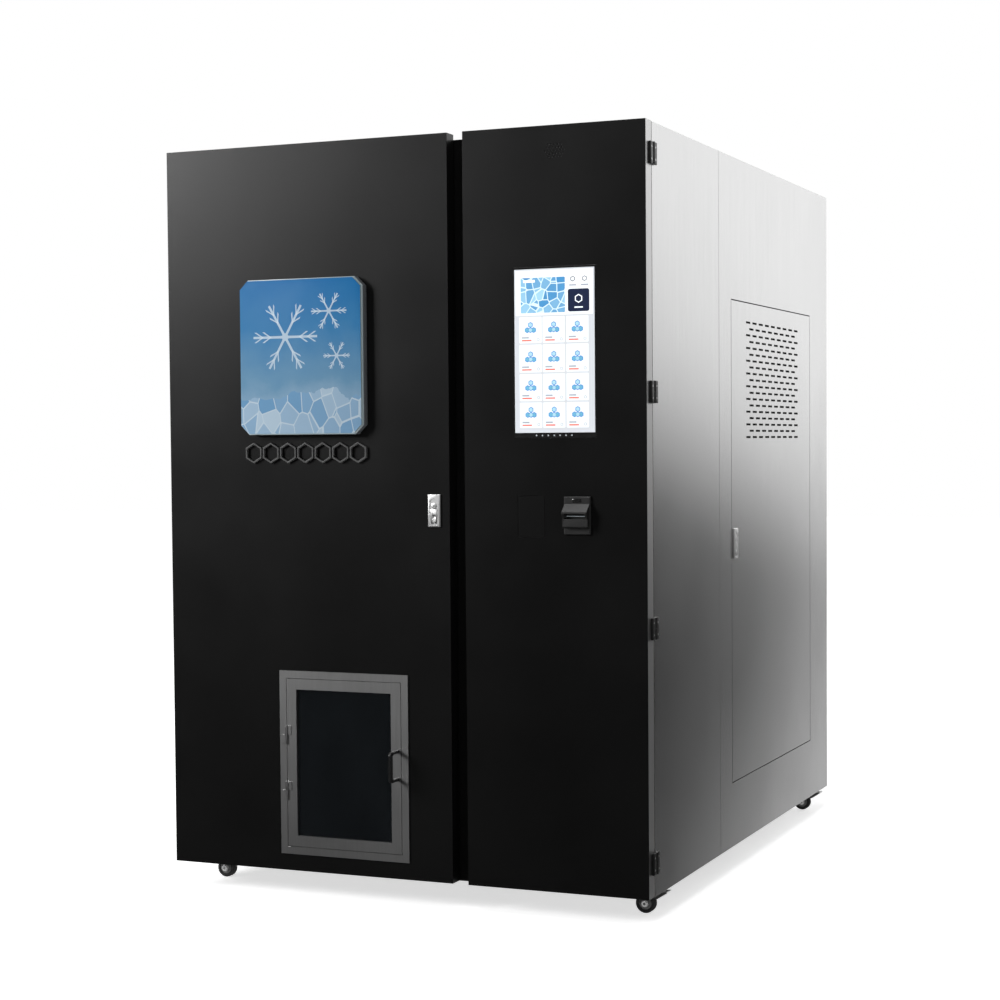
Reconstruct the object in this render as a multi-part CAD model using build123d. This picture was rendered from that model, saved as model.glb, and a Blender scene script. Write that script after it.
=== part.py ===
from build123d import *

import math
import os

# Ice vending machine on casters, in millimetres.
# X runs across the front, Y from the doors' face towards the back, Z up from the floor.
# Each piece is drawn with Y = 0 on the doors' face and X = 0 in the middle.
# At the end all pieces shift together, so that the origin is under the middle of the whole machine.

# Overall sizes
CABINET_WIDTH = 1580.0
CABINET_DEPTH = 2100.0
DOOR_HEIGHT = 2230.0
CASTER_HEIGHT = 80.0
LEFT_DOOR_WIDTH = 962.0
DOOR_GAP = 50.0

# Small round features that repeat, and inner round bodies, are drawn with a set number of flats
PIN_SIDES = 12
BODY_SIDES = 24
WHEEL_SIDES = 32

# Sheet metal and clearances
SHEET = 2.0
DOOR_DEPTH = 50.0
SEAM = 3.0
FIT = 0.2
SEAT = 0.3
RUNNING = 0.05
FLANGE = 18.0
FRAME_RETURN = 25.0
DOOR_LIFT = 2.0
CABINET_UNDER_DOOR_TOP = 2.0
FRONT_FRAME_DROP = 15.0
ROOF_DROP = 17.0
BEAD_COUNT = 3
BEAD_FROM_TOP = 220.0
BEAD_PITCH = 400.0
BEAD_WIDTH = 60.0
BEAD_RISE = 1.5
BEAD_INSET = 90.0

# Base
BEAM = 40.0
CASTER_BEAM = 80.0
FLOOR_LIP = 20.0

# Front frame openings
SIDE_RAIL = 60.0
BOTTOM_RAIL = 70.0
TOP_RAIL = 57.0
MULLION = 130.0

# Surface hinges of the two tall doors, four on each
HINGE_COUNT = 4
HINGE_FROM_FOOT = 98.0
HINGE_FROM_TOP = 92.0
HINGE_HEIGHT = 64.0
HINGE_LEAF = 22.0
HINGE_LEAF_THICK = 8.0
HINGE_BEVEL = 4.0
KNUCKLE_RADIUS = 5.0
HINGE_PIN_RADIUS = 2.5
HINGE_PIN_END = 1.5
KNUCKLE_OFF_PANEL = 5.5
LEAF_FROM_AXIS = 6.0
KNUCKLE_GAP = 0.3

# Pick-up door low in the left door, measured from that door's left edge and foot
PICK_CENTRE_X = 601.0
PICK_FOOT = 52.0
PICK_FRAME_WIDTH = 438.0
PICK_FRAME_HEIGHT = 568.0
PICK_FRAME_BORDER = 23.0
PICK_FRAME_THICK = 4.0
PICK_SEAM = 1.5
PICK_STILE = 33.0
PICK_DOOR_THICK = 12.0
PICK_STOP = 12.0
GLASS_THICK = 4.0
GLASS_REBATE = 7.0
PICK_HINGE_FROM_CENTRE = 86.0
PICK_HINGE_HEIGHT = 54.0
PICK_HINGE_LEAF = 16.0
PICK_KNUCKLE_RADIUS = 3.5
PICK_PIN_RADIUS = 2.0
HANDLE_FROM_EDGE = 9.0
HANDLE_CENTRE_FROM_FOOT = 347.0
HANDLE_SPACING = 84.0
HANDLE_REACH = 62.0
HANDLE_BAR = 9.0
HANDLE_GRIP_DEPTH = 17.0
HANDLE_CORNER = 12.0
HANDLE_INNER_CORNER = 6.0

# Picture light box and the row of rings below it, from the left door's left edge and foot
PICTURE_CENTRE_X = 484.0
PICTURE_CENTRE_Z = 1582.0
PICTURE_WIDTH = 419.0
PICTURE_HEIGHT = 473.0
PICTURE_CORNER = 28.0
PICTURE_DEPTH = 36.0
PICTURE_WALL = 8.0
PICTURE_FACE_THICK = 6.0
PICTURE_INSET = 3.0
RING_COUNT = 7
RING_CENTRE_Z = 1290.0
RING_RADIUS = 32.0
RING_STROKE = 6.0
RING_PITCH = 60.0
RING_THICK = 10.0

# Flush lock with a lifting paddle and a key plug; the centre is that of its plate
LOCK_WIDTH = 40.0
LOCK_HEIGHT = 98.0
LOCK_PROUD = 6.0
LOCK_BEVEL = 2.0
LOCK_BODY_WIDTH = 30.0
LOCK_BODY_HEIGHT = 88.0
LOCK_BODY_DEPTH = 20.0
LOCK_PLUG_ABOVE = 15.0
LOCK_PLUG_RADIUS = 6.0
LOCK_KEYWAY = 1.2
LOCK_SHAFT_RADIUS = 4.0
LOCK_CAM_WIDTH = 14.0
LOCK_CAM_THICK = 3.0
LOCK_CAM_REACH = 30.0
LOCK_PADDLE_WIDTH = 20.0
LOCK_PADDLE_LENGTH = 40.0
LOCK_PADDLE_THICK = 4.6
LOCK_PADDLE_TAPER = 5.0
LOCK_PADDLE_BELOW_PLUG = 9.0
LOCK_PIVOT_RADIUS = 1.5
LOCK_PIVOT_END = 2.0
LOCK_POCKET_FLOOR = 2.0
LOCK_FINGER_ROOM = 7.0
LEFT_LOCK_FROM_EDGE = 49.0
LEFT_LOCK_Z = 1115.0

# Right door fittings, from that door's left edge and foot
SCREEN_LEFT = 158.0
SCREEN_FOOT = 1328.0
SCREEN_WIDTH = 258.0
SCREEN_HEIGHT = 496.0
SCREEN_PROUD = 1.0
SCREEN_GLASS = 3.0
SCREEN_CASE_DEPTH = 34.0
FLANGE_MARGIN = 6.0
BLANK_LEFT = 169.5
BLANK_FOOT = 1039.5
BLANK_WIDTH = 83.0
BLANK_HEIGHT = 120.5
BLANK_GAP = 0.6
READER_LEFT = 315.5
READER_FOOT = 1048.5
READER_WIDTH = 82.0
READER_HEIGHT = 110.5
READER_BASE = 9.0
READER_BEVEL = 2.0
READER_HOOD_REACH = 34.0
READER_HOOD_TOP = 89.0
READER_HOOD_EDGE = 67.0
READER_LIP_REACH = 26.0
READER_LIP_FOOT = 21.0
READER_SLOT_WIDTH = 64.0
READER_SLOT_FOOT = 46.0
READER_SLOT_HEIGHT = 15.0
READER_SLOT_DEPTH = 24.0
SPEAKER_CENTRE_X = 291.5
SPEAKER_FROM_TOP = 74.0
SPEAKER_PITCH = 9.5
SPEAKER_ROW = 9.2
SPEAKER_HOLE = 2.3
SPEAKER_ROWS = (5, 6, 7, 6, 5)
SPEAKER_RADIUS = 38.0
SPEAKER_MAGNET = 19.0
SPEAKER_DEPTH = 24.0
BOLT_FROM_MULLION = 5.0
BOLT_LENGTH = 90.0
BOLT_HEIGHT = 20.0
BOLT_THICK = 8.0
BOLT_GUIDE = 12.0
BOLT_GUIDE_WALL = 4.0
BOLT_ROOM = 0.1
BOLT_KNOB = 10.0
BOLT_KNOB_AT = 58.0
BOLT_KNOB_REACH = 16.0

# Right side: joint between the two panels, access door and its louvre slots
SIDE_JOINT_DEPTH = 704.0
SIDE_JOINT_GAP = 2.0
ACCESS_START = 841.0
ACCESS_WIDTH = 1002.0
ACCESS_FOOT = 209.0
ACCESS_HEIGHT = 1560.0
ACCESS_THICK = 12.0
ACCESS_GAP = 3.0
ACCESS_LIP = 15.0
ACCESS_LIP_BEHIND = 8.0
ACCESS_PIVOT_IN = 8.0
ACCESS_PIN_RADIUS = 3.0
ACCESS_PIN_LENGTH = 8.0
ACCESS_LOCK_FROM_EDGE = 32.0
ACCESS_LOCK_ABOVE_FOOT = 775.0
LOUVRE_ROWS = 19
LOUVRE_SLOTS = 9
LOUVRE_PITCH = 76.4
LOUVRE_ROW_PITCH = 21.0
LOUVRE_SLOT_LENGTH = 50.0
LOUVRE_SLOT_HEIGHT = 6.5
LOUVRE_TOP_BELOW_EDGE = 63.0

# Casters
CASTER_INSET = 98.0
CASTER_FRONT = 190.0
CASTER_REAR = 84.0
WHEEL_RADIUS = 30.0
WHEEL_WIDTH = 24.0
WHEEL_BEVEL = 3.0
WHEEL_TRAIL = 24.0
WHEEL_GAP = 1.0
FORK_SHEET = 3.0
FORK_CROWN_ABOVE_WHEEL = 2.4
FORK_FRONT = 17.0
FORK_BOSS = 11.5
AXLE_RADIUS = 5.0
AXLE_HEAD = 9.0
AXLE_HEAD_THICK = 6.0
KINGPIN_RADIUS = 5.0
PLATE_WIDTH = 70.0
PLATE_THICK = 3.0
RACE_RADIUS = 22.0
PEDAL_PIVOT_ANGLE = 52.0
PEDAL_PIVOT_RADIUS = 3.0
PEDAL_PIVOT_OFF_TYRE = 5.6
PEDAL_TRAVEL = 20.0
PEDAL_PAD_ANGLE = 24.7
PEDAL_PAD_GAP = 1.0
PEDAL_PAD_THICK = 4.0
PEDAL_SHEET = 2.6
PEDAL_TAIL = 48.0
PEDAL_TAIL_RISE = 12.0
PEDAL_TAIL_WIDTH = 44.0
PEDAL_FLARE_FROM = 0.5

# Ice plant in the left bay
HOPPER_FROM_SIDE = 90.0
HOPPER_FRONT = 420.0
HOPPER_LENGTH = 900.0
HOPPER_FOOT = 900.0
HOPPER_HEIGHT = 660.0
HOPPER_SLOPE_TOP = 250.0
HOPPER_WALL = 30.0
HOPPER_BOTTOM_WIDTH = 200.0
LEDGE_THICK = 4.0
LEDGE_RISE = 60.0
LEDGE_BELOW_TOP = 156.0
AUGER_RADIUS = 60.0
AUGER_ROOM = 5.0
AUGER_SHAFT = 14.0
AUGER_PADDLES = 8
AUGER_PADDLE_WIDTH = 52.0
AUGER_PADDLE_THICK = 5.0
AUGER_PADDLE_TILT = 35.0
AUGER_PADDLE_STEP = 120.0
AUGER_ABOVE_FOOT = 85.0
AUGER_OVERHANG = 22.0
AUGER_SHAFT_IN_BOX = 60.0
MOTOR_BOX = 130.0
MOTOR_BOX_DEPTH = 70.0
MOTOR_BOX_BEVEL = 10.0
MOTOR_RADIUS = 50.0
MOTOR_LENGTH = 170.0
TERMINAL_WIDTH = 60.0
TERMINAL_LENGTH = 80.0
TERMINAL_RISE = 25.0
MAKER_INSET = 60.0
MAKER_HEIGHT = 540.0
MAKER_WALL = 20.0
MAKER_LID_INSET = 80.0
MAKER_PLATE_FOOT = 216.0
MAKER_RIBS = 6

# Pick-up bay and its drop chute
BAY_MARGIN = 10.0
BAY_FOOT = 158.0
BAY_TOP = 700.0
BAY_FRONT_GAP = 6.0
SKID_WIDTH = 30.0
CHUTE_WIDTH = 160.0
CHUTE_DEPTH = 118.0
CHUTE_ABOVE_AUGER = 75.0
GATE_PIVOT_RADIUS = 4.0
GATE_SHEET = 2.0
GATE_GAP = 1.5

# Cooling plant and electrics in the right bay
SHELF_Z = 1360.0
SHELF_START = 760.0
SHELF_END = 1920.0
SHELF_EDGE = 25.0
SHELF_CLEAR_OF_DOOR = 50.0
SHELF_TAB = 65.0
COIL_DEPTH = 50.0
COIL_WIDTH = 530.0
COIL_HEIGHT = 460.0
COIL_GROOVES = 14
FIN_GROOVE = 10.0
FIN_GROOVE_DEPTH = 12.0
SHROUD_DEPTH = 45.0
FAN_OPENING = 185.0
FAN_RADIUS = 175.0
FAN_HUB = 38.0
FAN_BLADES = 5
FAN_BLADE_THICK = 3.0
FAN_BLADE_ROOT = 44.0
FAN_BLADE_CHORD = 72.0
FAN_BLADE_TILT = 28.0
FAN_DEPTH = 34.0
FAN_SHAFT = 6.0
FAN_MOTOR_RADIUS = 45.0
FAN_MOTOR_LENGTH = 60.0
FAN_STRAP = 4.0
FAN_STRAP_WIDTH = 16.0
FAN_STAND_OFF = 52.0
COMPRESSOR_RADIUS = 105.0
COMPRESSOR_HEIGHT = 250.0
COMPRESSOR_CROWN = 40.0
COMPRESSOR_FOOT = 15.0
COMPRESSOR_BASE = 240.0
COMPRESSOR_BACK = 608.0
CONTROL_WIDTH = 130.0
CONTROL_LENGTH = 360.0
CONTROL_HEIGHT = 450.0
CONTROL_FOOT = 1500.0
CONTROL_FRONT = 200.0
CONTROL_LID = 12.0
CONTROL_LID_INSET = 24.0

# Fittings on the back
REAR_REACH = 35.0
FITTING_Z = 260.0
INLET_RADIUS = 10.5
DRAIN_RADIUS = 16.0
GLAND_RADIUS = 12.0
GLAND_BORE = 6.5
FITTING_WALL = 3.0
FITTING_NUT = 6.0
FITTING_NUT_RIM = 8.0
FITTING_PITCH = 120.0
VENT_ROWS = 5
VENT_SLOTS = 3
VENT_LENGTH = 110.0
VENT_HEIGHT = 8.0
VENT_PITCH_X = 140.0
VENT_PITCH_Z = 36.0
VENT_TOP_DROP = 260.0

# Levels and planes that follow from the sizes above
HALF = CABINET_WIDTH / 2
INNER = HALF - SHEET - FIT
INNER_BACK = CABINET_DEPTH - SHEET - FIT
DOOR_FOOT = CASTER_HEIGHT + DOOR_LIFT
DOOR_TOP = DOOR_FOOT + DOOR_HEIGHT
CABINET_TOP = DOOR_TOP - CABINET_UNDER_DOOR_TOP
FRONT_FRAME_TOP = DOOR_TOP - FRONT_FRAME_DROP
ROOF_Z = DOOR_TOP - ROOF_DROP
UNDER_ROOF = ROOF_Z - FRAME_RETURN - SHEET
LEFT_DOOR_END = -HALF + LEFT_DOOR_WIDTH
RIGHT_DOOR_START = LEFT_DOOR_END + DOOR_GAP
MULLION_CENTRE = LEFT_DOOR_END + DOOR_GAP / 2
FRAME_Y = DOOR_DEPTH + SEAM
FRAME_BACK = FRAME_Y + SHEET
BEHIND_FRAME = FRAME_BACK + SHEET
FLOOR_Z = CASTER_HEIGHT + BEAM
FLOOR_TOP = FLOOR_Z + SHEET
ABOVE_FLOOR_LIP = FLOOR_Z + FLOOR_LIP + SHEET
LEFT_OPENING = (-HALF + SIDE_RAIL, MULLION_CENTRE - MULLION / 2)
RIGHT_OPENING = (MULLION_CENTRE + MULLION / 2, HALF - SIDE_RAIL)
OPENING_FOOT = CASTER_HEIGHT + BOTTOM_RAIL
OPENING_TOP = FRONT_FRAME_TOP - TOP_RAIL
PARTITION_LEFT = MULLION_CENTRE - SHEET / 2
PARTITION_RIGHT = MULLION_CENTRE + SHEET / 2

HINGE_AXIS_X = HALF + KNUCKLE_OFF_PANEL
HINGE_AXIS_Y = DOOR_DEPTH + SEAM / 2
HINGE_FIRST = DOOR_FOOT + HINGE_FROM_FOOT
HINGE_STEP = (DOOR_TOP - HINGE_FROM_TOP - HINGE_FIRST) / (HINGE_COUNT - 1)
HINGE_HEIGHTS = [HINGE_FIRST + HINGE_STEP * i for i in range(HINGE_COUNT)]
FRONT_REACH = PICK_FRAME_THICK + HANDLE_REACH
ORIGIN_DEPTH = (CABINET_DEPTH + REAR_REACH - FRONT_REACH) / 2

PICK_X = -HALF + PICK_CENTRE_X
PICK_Z = DOOR_FOOT + PICK_FOOT + PICK_FRAME_HEIGHT / 2
PICK_HALF = PICK_FRAME_WIDTH / 2 - PICK_FRAME_BORDER
PICK_HALF_Z = PICK_FRAME_HEIGHT / 2 - PICK_FRAME_BORDER
PICK_AXIS_X = PICK_X - PICK_HALF
PICK_AXIS_OUT = PICK_FRAME_THICK + PICK_KNUCKLE_RADIUS + SEAT
HANDLE_X = PICK_X + PICK_HALF - PICK_SEAM - HANDLE_FROM_EDGE
HANDLE_Z = DOOR_FOOT + HANDLE_CENTRE_FROM_FOOT
PICTURE_X = -HALF + PICTURE_CENTRE_X
PICTURE_Z = DOOR_FOOT + PICTURE_CENTRE_Z

LEFT_LOCK_X = LEFT_DOOR_END - LEFT_LOCK_FROM_EDGE
LEFT_LOCK_CENTRE = DOOR_FOOT + LEFT_LOCK_Z
BOLT_X = RIGHT_OPENING[0] + BOLT_FROM_MULLION
BOLT_Z = LEFT_LOCK_CENTRE
BOLT_BACK = BEHIND_FRAME + BOLT_THICK
SPEAKER_X = RIGHT_DOOR_START + SPEAKER_CENTRE_X
SPEAKER_Z = DOOR_TOP - SPEAKER_FROM_TOP

ACCESS_Z0 = DOOR_FOOT + ACCESS_FOOT
ACCESS_Z1 = ACCESS_Z0 + ACCESS_HEIGHT
ACCESS_END = ACCESS_START + ACCESS_WIDTH
ACCESS_STOP = HALF - ACCESS_THICK - ACCESS_LIP_BEHIND
ACCESS_AXIS_X = HALF - ACCESS_THICK / 2
ACCESS_AXIS_Y = ACCESS_END - ACCESS_PIVOT_IN
ACCESS_LOCK_Y = ACCESS_START + ACCESS_LOCK_FROM_EDGE
ACCESS_LOCK_CENTRE = ACCESS_Z0 + ACCESS_LOCK_ABOVE_FOOT
ACCESS_CAM_DEPTH = HALF - ACCESS_STOP + 2 * SHEET

HOPPER_LEFT = -HALF + HOPPER_FROM_SIDE
HOPPER_RIGHT = MULLION_CENTRE - HOPPER_FROM_SIDE
HOPPER_X = (HOPPER_LEFT + HOPPER_RIGHT) / 2
HOPPER_BACK = HOPPER_FRONT + HOPPER_LENGTH
HOPPER_TOP = HOPPER_FOOT + HOPPER_HEIGHT
AUGER_Z = HOPPER_FOOT + AUGER_ABOVE_FOOT
CHUTE_FRONT = HOPPER_FRONT - CHUTE_DEPTH - SHEET
GATE_Y = HOPPER_FRONT - SHEET - GATE_GAP - GATE_PIVOT_RADIUS
GATE_Z = BAY_TOP + GATE_PIVOT_RADIUS + SHEET

SHELF_RIGHT = HALF - SHELF_CLEAR_OF_DOOR
COIL_X = SHELF_RIGHT - COIL_DEPTH - SEAT
COIL_Y = ACCESS_START + ACCESS_WIDTH / 2
COIL_Z = SHELF_Z + SHEET + COIL_HEIGHT / 2
SHROUD_X = COIL_X - SHROUD_DEPTH
STRAP_X = SHROUD_X - FAN_STAND_OFF
FITTING_XS = [MULLION_CENTRE + FITTING_PITCH * i for i in (1, 2, 3)]
CROWN_Z = 2 * WHEEL_RADIUS + FORK_CROWN_ABOVE_WHEEL
FORK_INNER = WHEEL_WIDTH / 2 + WHEEL_GAP
FORK_OUTER = FORK_INNER + FORK_SHEET
CASTERS = {
    "front_left": (-HALF + CASTER_INSET, CASTER_FRONT, 180),
    "front_right": (HALF - CASTER_INSET, CASTER_FRONT, 0),
    "rear_left": (-HALF + CASTER_INSET, CABINET_DEPTH - CASTER_REAR, 180),
    "rear_right": (HALF - CASTER_INSET, CABINET_DEPTH - CASTER_REAR, 0),
}


# Shapes that many pieces start from


def block(x0, x1, y0, y1, z0, z1):
    """A box given by its lowest and highest coordinates."""
    return Pos((x0 + x1) / 2, (y0 + y1) / 2, (z0 + z1) / 2) * Box(x1 - x0, y1 - y0, z1 - z0)


def round_section(radius, sides, bore):
    """A circle, or a polygon of that many sides: round a bore's circle, inside a pin's."""
    if sides:
        return RegularPolygon(radius, sides, major_radius=not bore)
    return Circle(radius)


def rod_x(y, z, radius, x0, x1, sides=0, bore=False):
    """A round bar or bore along X."""
    plane = Plane(origin=(x0, y, z), x_dir=(0, 1, 0), z_dir=(1, 0, 0))
    return extrude(plane * round_section(radius, sides, bore), amount=x1 - x0)


def rod_y(x, z, radius, y0, y1, sides=0, bore=False):
    """A round bar or bore along Y."""
    plane = Plane(origin=(x, y0, z), x_dir=(1, 0, 0), z_dir=(0, 1, 0))
    return extrude(plane * round_section(radius, sides, bore), amount=y1 - y0)


def rod_z(x, y, radius, z0, z1, sides=0, bore=False):
    """A round bar or bore along Z."""
    return extrude(Pos(x, y, z0) * round_section(radius, sides, bore), amount=z1 - z0)


def prism_x(points, x0, x1):
    """An outline of (y, z) points, extruded along X."""
    outline = Polyline(*[(x0, y, z) for y, z in points], close=True)
    return extrude(make_face(outline), amount=x1 - x0, dir=(1, 0, 0))


def prism_y(points, y0, y1):
    """An outline of (x, z) points, extruded along Y."""
    outline = Polyline(*[(x, y0, z) for x, z in points], close=True)
    return extrude(make_face(outline), amount=y1 - y0, dir=(0, 1, 0))


def prism_z(points, z0, z1):
    """An outline of (x, y) points, extruded along Z."""
    outline = Polyline(*[(x, y, z0) for x, y in points], close=True)
    return extrude(make_face(outline), amount=z1 - z0, dir=(0, 0, 1))


def at_angle(x, z, radius, degrees):
    """The point at an angle on a circle round (x, z)."""
    angle = math.radians(degrees)
    return (x + radius * math.cos(angle), z + radius * math.sin(angle))


def arc_points(x, z, radius, start, end, count):
    """Points along an arc, with angles in degrees."""
    return [at_angle(x, z, radius, start + (end - start) * i / (count - 1)) for i in range(count)]


def hexagon(x, z, radius, turn=0):
    """The six corners of a hexagon."""
    return arc_points(x, z, radius, turn, turn + 300, 6)


def ring_plate(x0, x1, y0, y1, z0, z1, border):
    """A rectangular frame that stands in the XZ plane."""
    outer = block(x0, x1, y0, y1, z0, z1)
    return outer - block(x0 + border, x1 - border, y0 - 1, y1 + 1, z0 + border, z1 - border)


# Cabinet


def base_frame():
    """Welded base of square tube, with two wide beams that the casters bolt to."""
    frame = block(-INNER, INNER, FRAME_BACK, INNER_BACK, CASTER_HEIGHT, FLOOR_Z)
    inside = INNER - BEAM
    front_beam = CASTER_FRONT + CASTER_BEAM / 2
    rear_beam = CABINET_DEPTH - CASTER_REAR - CASTER_BEAM / 2
    middle = (front_beam + rear_beam) / 2
    for y0, y1 in ((front_beam, middle - BEAM / 2), (middle + BEAM / 2, rear_beam)):
        frame -= block(-inside, inside, y0, y1, CASTER_HEIGHT - 1, FLOOR_Z + 1)
    return frame


def floor_pan():
    """Sheet floor on the base, turned up along both sides."""
    pan = block(-INNER, INNER, FRAME_BACK, INNER_BACK, FLOOR_Z, FLOOR_TOP)
    for side in (-1, 1):
        edge = sorted((side * INNER, side * (INNER - SHEET)))
        pan += block(*edge, FRAME_Y + FRAME_RETURN + FIT, INNER_BACK, FLOOR_Z, FLOOR_Z + FLOOR_LIP)
    return pan


def front_frame():
    """Black face frame that the doors close on, with keeper slots in the mullion between its openings."""
    foot = CASTER_HEIGHT + 2 * SHEET
    back = FRAME_Y + FRAME_RETURN
    frame = block(-INNER, INNER, FRAME_Y, FRAME_BACK, foot, FRONT_FRAME_TOP)
    for side in (-1, 1):
        edge = sorted((side * INNER, side * (INNER - SHEET)))
        frame += block(*edge, FRAME_Y, back, ABOVE_FLOOR_LIP, UNDER_ROOF)
    for x0, x1 in (LEFT_OPENING, RIGHT_OPENING):
        frame += block(x0 - SHEET, x1 + SHEET, FRAME_Y, back, OPENING_FOOT - SHEET, OPENING_TOP + SHEET)
    for x0, x1 in (LEFT_OPENING, RIGHT_OPENING):
        frame -= block(x0, x1, FRAME_Y - 1, back + 1, OPENING_FOOT, OPENING_TOP)
    plug_z = LEFT_LOCK_CENTRE + LOCK_PLUG_ABOVE
    z0, z1 = plug_z - LOCK_CAM_REACH - SHEET, plug_z + LOCK_CAM_WIDTH
    edge = LEFT_OPENING[1]
    frame -= block(edge - 1, edge + 2 * SHEET, FRAME_BACK, BEHIND_FRAME + LOCK_CAM_THICK + SHEET, z0, z1)
    z0, z1 = BOLT_Z - BOLT_HEIGHT / 2 - SHEET, BOLT_Z + BOLT_HEIGHT / 2 + SHEET
    edge = RIGHT_OPENING[0]
    return frame - block(edge - 2 * SHEET, edge + 1, FRAME_BACK, BOLT_BACK + SHEET, z0, z1)


def side_panel(y0, y1, side):
    """A flat side sheet with a turned-in top edge; side is -1 for left and 1 for right."""
    outer = sorted((side * HALF, side * (HALF - SHEET)))
    flange = sorted((side * HALF, side * (HALF - SHEET - FLANGE)))
    panel = block(*outer, y0, y1, CASTER_HEIGHT, CABINET_TOP)
    return panel + block(*flange, y0, y1, CABINET_TOP - SHEET, CABINET_TOP)


def left_side_panel():
    """Brushed left side, one sheet from the seam to the back."""
    return side_panel(FRAME_Y, CABINET_DEPTH, -1)


def right_front_side_panel():
    """Narrow brushed panel behind the right door, turned in at the joint."""
    panel = side_panel(FRAME_Y, SIDE_JOINT_DEPTH, 1)
    joint = SIDE_JOINT_DEPTH - SHEET
    return panel + block(HALF - FLANGE, HALF, joint, SIDE_JOINT_DEPTH, ABOVE_FLOOR_LIP, UNDER_ROOF)


def right_rear_side_panel():
    """Brushed panel with the access doorway, whose edges turn in and carry a stop lip and pivot holes."""
    start = SIDE_JOINT_DEPTH + SIDE_JOINT_GAP
    panel = side_panel(start, CABINET_DEPTH, 1)
    panel += block(HALF - FLANGE, HALF, start, start + SHEET, ABOVE_FLOOR_LIP, UNDER_ROOF)
    y0, y1 = ACCESS_START - ACCESS_GAP, ACCESS_END + ACCESS_GAP
    z0, z1 = ACCESS_Z0 - ACCESS_GAP, ACCESS_Z1 + ACCESS_GAP
    jamb = block(ACCESS_STOP - SHEET, HALF, y0 - SHEET, y1 + SHEET, z0 - SHEET, z1 + SHEET)
    jamb -= block(ACCESS_STOP, HALF + 1, y0, y1, z0, z1)
    lip = ACCESS_LIP
    jamb -= block(ACCESS_STOP - SHEET - 1, HALF + 1, y0 + lip, y1 - lip, z0 + lip, z1 - lip)
    panel -= block(HALF - SHEET - 1, HALF + 1, y0, y1, z0, z1)
    panel += jamb
    radius = ACCESS_PIN_RADIUS + RUNNING
    for z in (z0, z1):
        span = (z - 2 * SHEET, z + 2 * SHEET)
        panel -= rod_z(ACCESS_AXIS_X, ACCESS_AXIS_Y, radius, *span, PIN_SIDES, bore=True)
    return panel


def rear_panel():
    """Back sheet with a field of vent slots and the holes of the three fittings."""
    y0, y1 = CABINET_DEPTH - SHEET, CABINET_DEPTH
    panel = block(-INNER, INNER, y0, y1, CASTER_HEIGHT + 2 * SHEET, CABINET_TOP - SHEET - FIT)
    vent_x = (MULLION_CENTRE + HALF) / 2
    half = VENT_LENGTH / 2
    for row in range(VENT_ROWS):
        z = CABINET_TOP - VENT_TOP_DROP - row * VENT_PITCH_Z
        for slot in range(VENT_SLOTS):
            x = vent_x + (slot - (VENT_SLOTS - 1) / 2) * VENT_PITCH_X
            panel -= block(x - half, x + half, y0 - 1, y1 + 1, z, z + VENT_HEIGHT)
    for x, radius in zip(FITTING_XS, (INLET_RADIUS, DRAIN_RADIUS, GLAND_RADIUS)):
        panel -= rod_y(x, FITTING_Z, radius + RUNNING, y0 - 1, y1 + 1, BODY_SIDES, bore=True)
    return panel


def roof_panel():
    """Sunk roof sheet, turned down all round."""
    front = FRAME_BACK + FIT
    foot = ROOF_Z - FRAME_RETURN
    roof = block(-INNER, INNER, front, INNER_BACK, foot, ROOF_Z)
    inside = INNER - SHEET
    return roof - block(-inside, inside, front + SHEET, INNER_BACK - SHEET, foot - 1, ROOF_Z - SHEET)


def bay_partition():
    """Upright sheet between the ice bay and the machine bay, flanged at the front, back and foot."""
    y0 = FRAME_BACK + FIT
    z1 = ROOF_Z - FRAME_RETURN - FIT
    flange = PARTITION_LEFT + FLANGE
    wall = block(PARTITION_LEFT, PARTITION_RIGHT, y0, INNER_BACK, FLOOR_TOP, z1)
    wall += block(PARTITION_LEFT, flange, y0, y0 + SHEET, FLOOR_TOP, z1)
    wall += block(PARTITION_LEFT, flange, INNER_BACK - SHEET, INNER_BACK, FLOOR_TOP, z1)
    return wall + block(PARTITION_LEFT, flange, y0, INNER_BACK, FLOOR_TOP, FLOOR_TOP + SHEET)


def machine_shelf():
    """Folded shelf for the cooling plant, held by the partition and by two tabs on the right side."""
    foot = SHELF_Z - SHELF_EDGE
    shelf = block(PARTITION_RIGHT, SHELF_RIGHT, SHELF_START, SHELF_END, foot, SHELF_Z + SHEET)
    y0, y1 = SHELF_START + SHEET, SHELF_END - SHEET
    shelf -= block(PARTITION_RIGHT - 1, SHELF_RIGHT - SHEET, y0, y1, foot - 1, SHELF_Z)
    for tab in (SHELF_START, SHELF_END - SHELF_TAB):
        shelf += block(SHELF_RIGHT - SHEET, INNER, tab, tab + SHELF_TAB, SHELF_Z, SHELF_Z + SHEET)
    return shelf


# Surface hinges of the tall doors


def hinge_leaf(side, towards, z0, z1):
    """The bevelled leaf of one hinge half; towards is 1 for the cabinet's half and -1 for the door's."""
    near = HINGE_AXIS_Y + towards * LEAF_FROM_AXIS
    far = near + towards * HINGE_LEAF
    face = side * (HALF + HINGE_LEAF_THICK)
    outline = [
        (side * HALF, near),
        (face, near),
        (face, far - towards * HINGE_BEVEL),
        (face - side * HINGE_BEVEL, far),
        (side * HALF, far),
    ]
    return prism_z(outline, z0, z1)


def hinge_knuckle(side, towards, z0, z1):
    """The knuckle and the web that joins it to its leaf."""
    axis = side * HINGE_AXIS_X
    web_x = sorted((side * (HALF + FIT), axis))
    web_y = sorted((HINGE_AXIS_Y + towards * (LEAF_FROM_AXIS + 1), HINGE_AXIS_Y))
    return block(*web_x, *web_y, z0, z1) + rod_z(axis, HINGE_AXIS_Y, KNUCKLE_RADIUS, z0, z1, PIN_SIDES)


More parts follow.
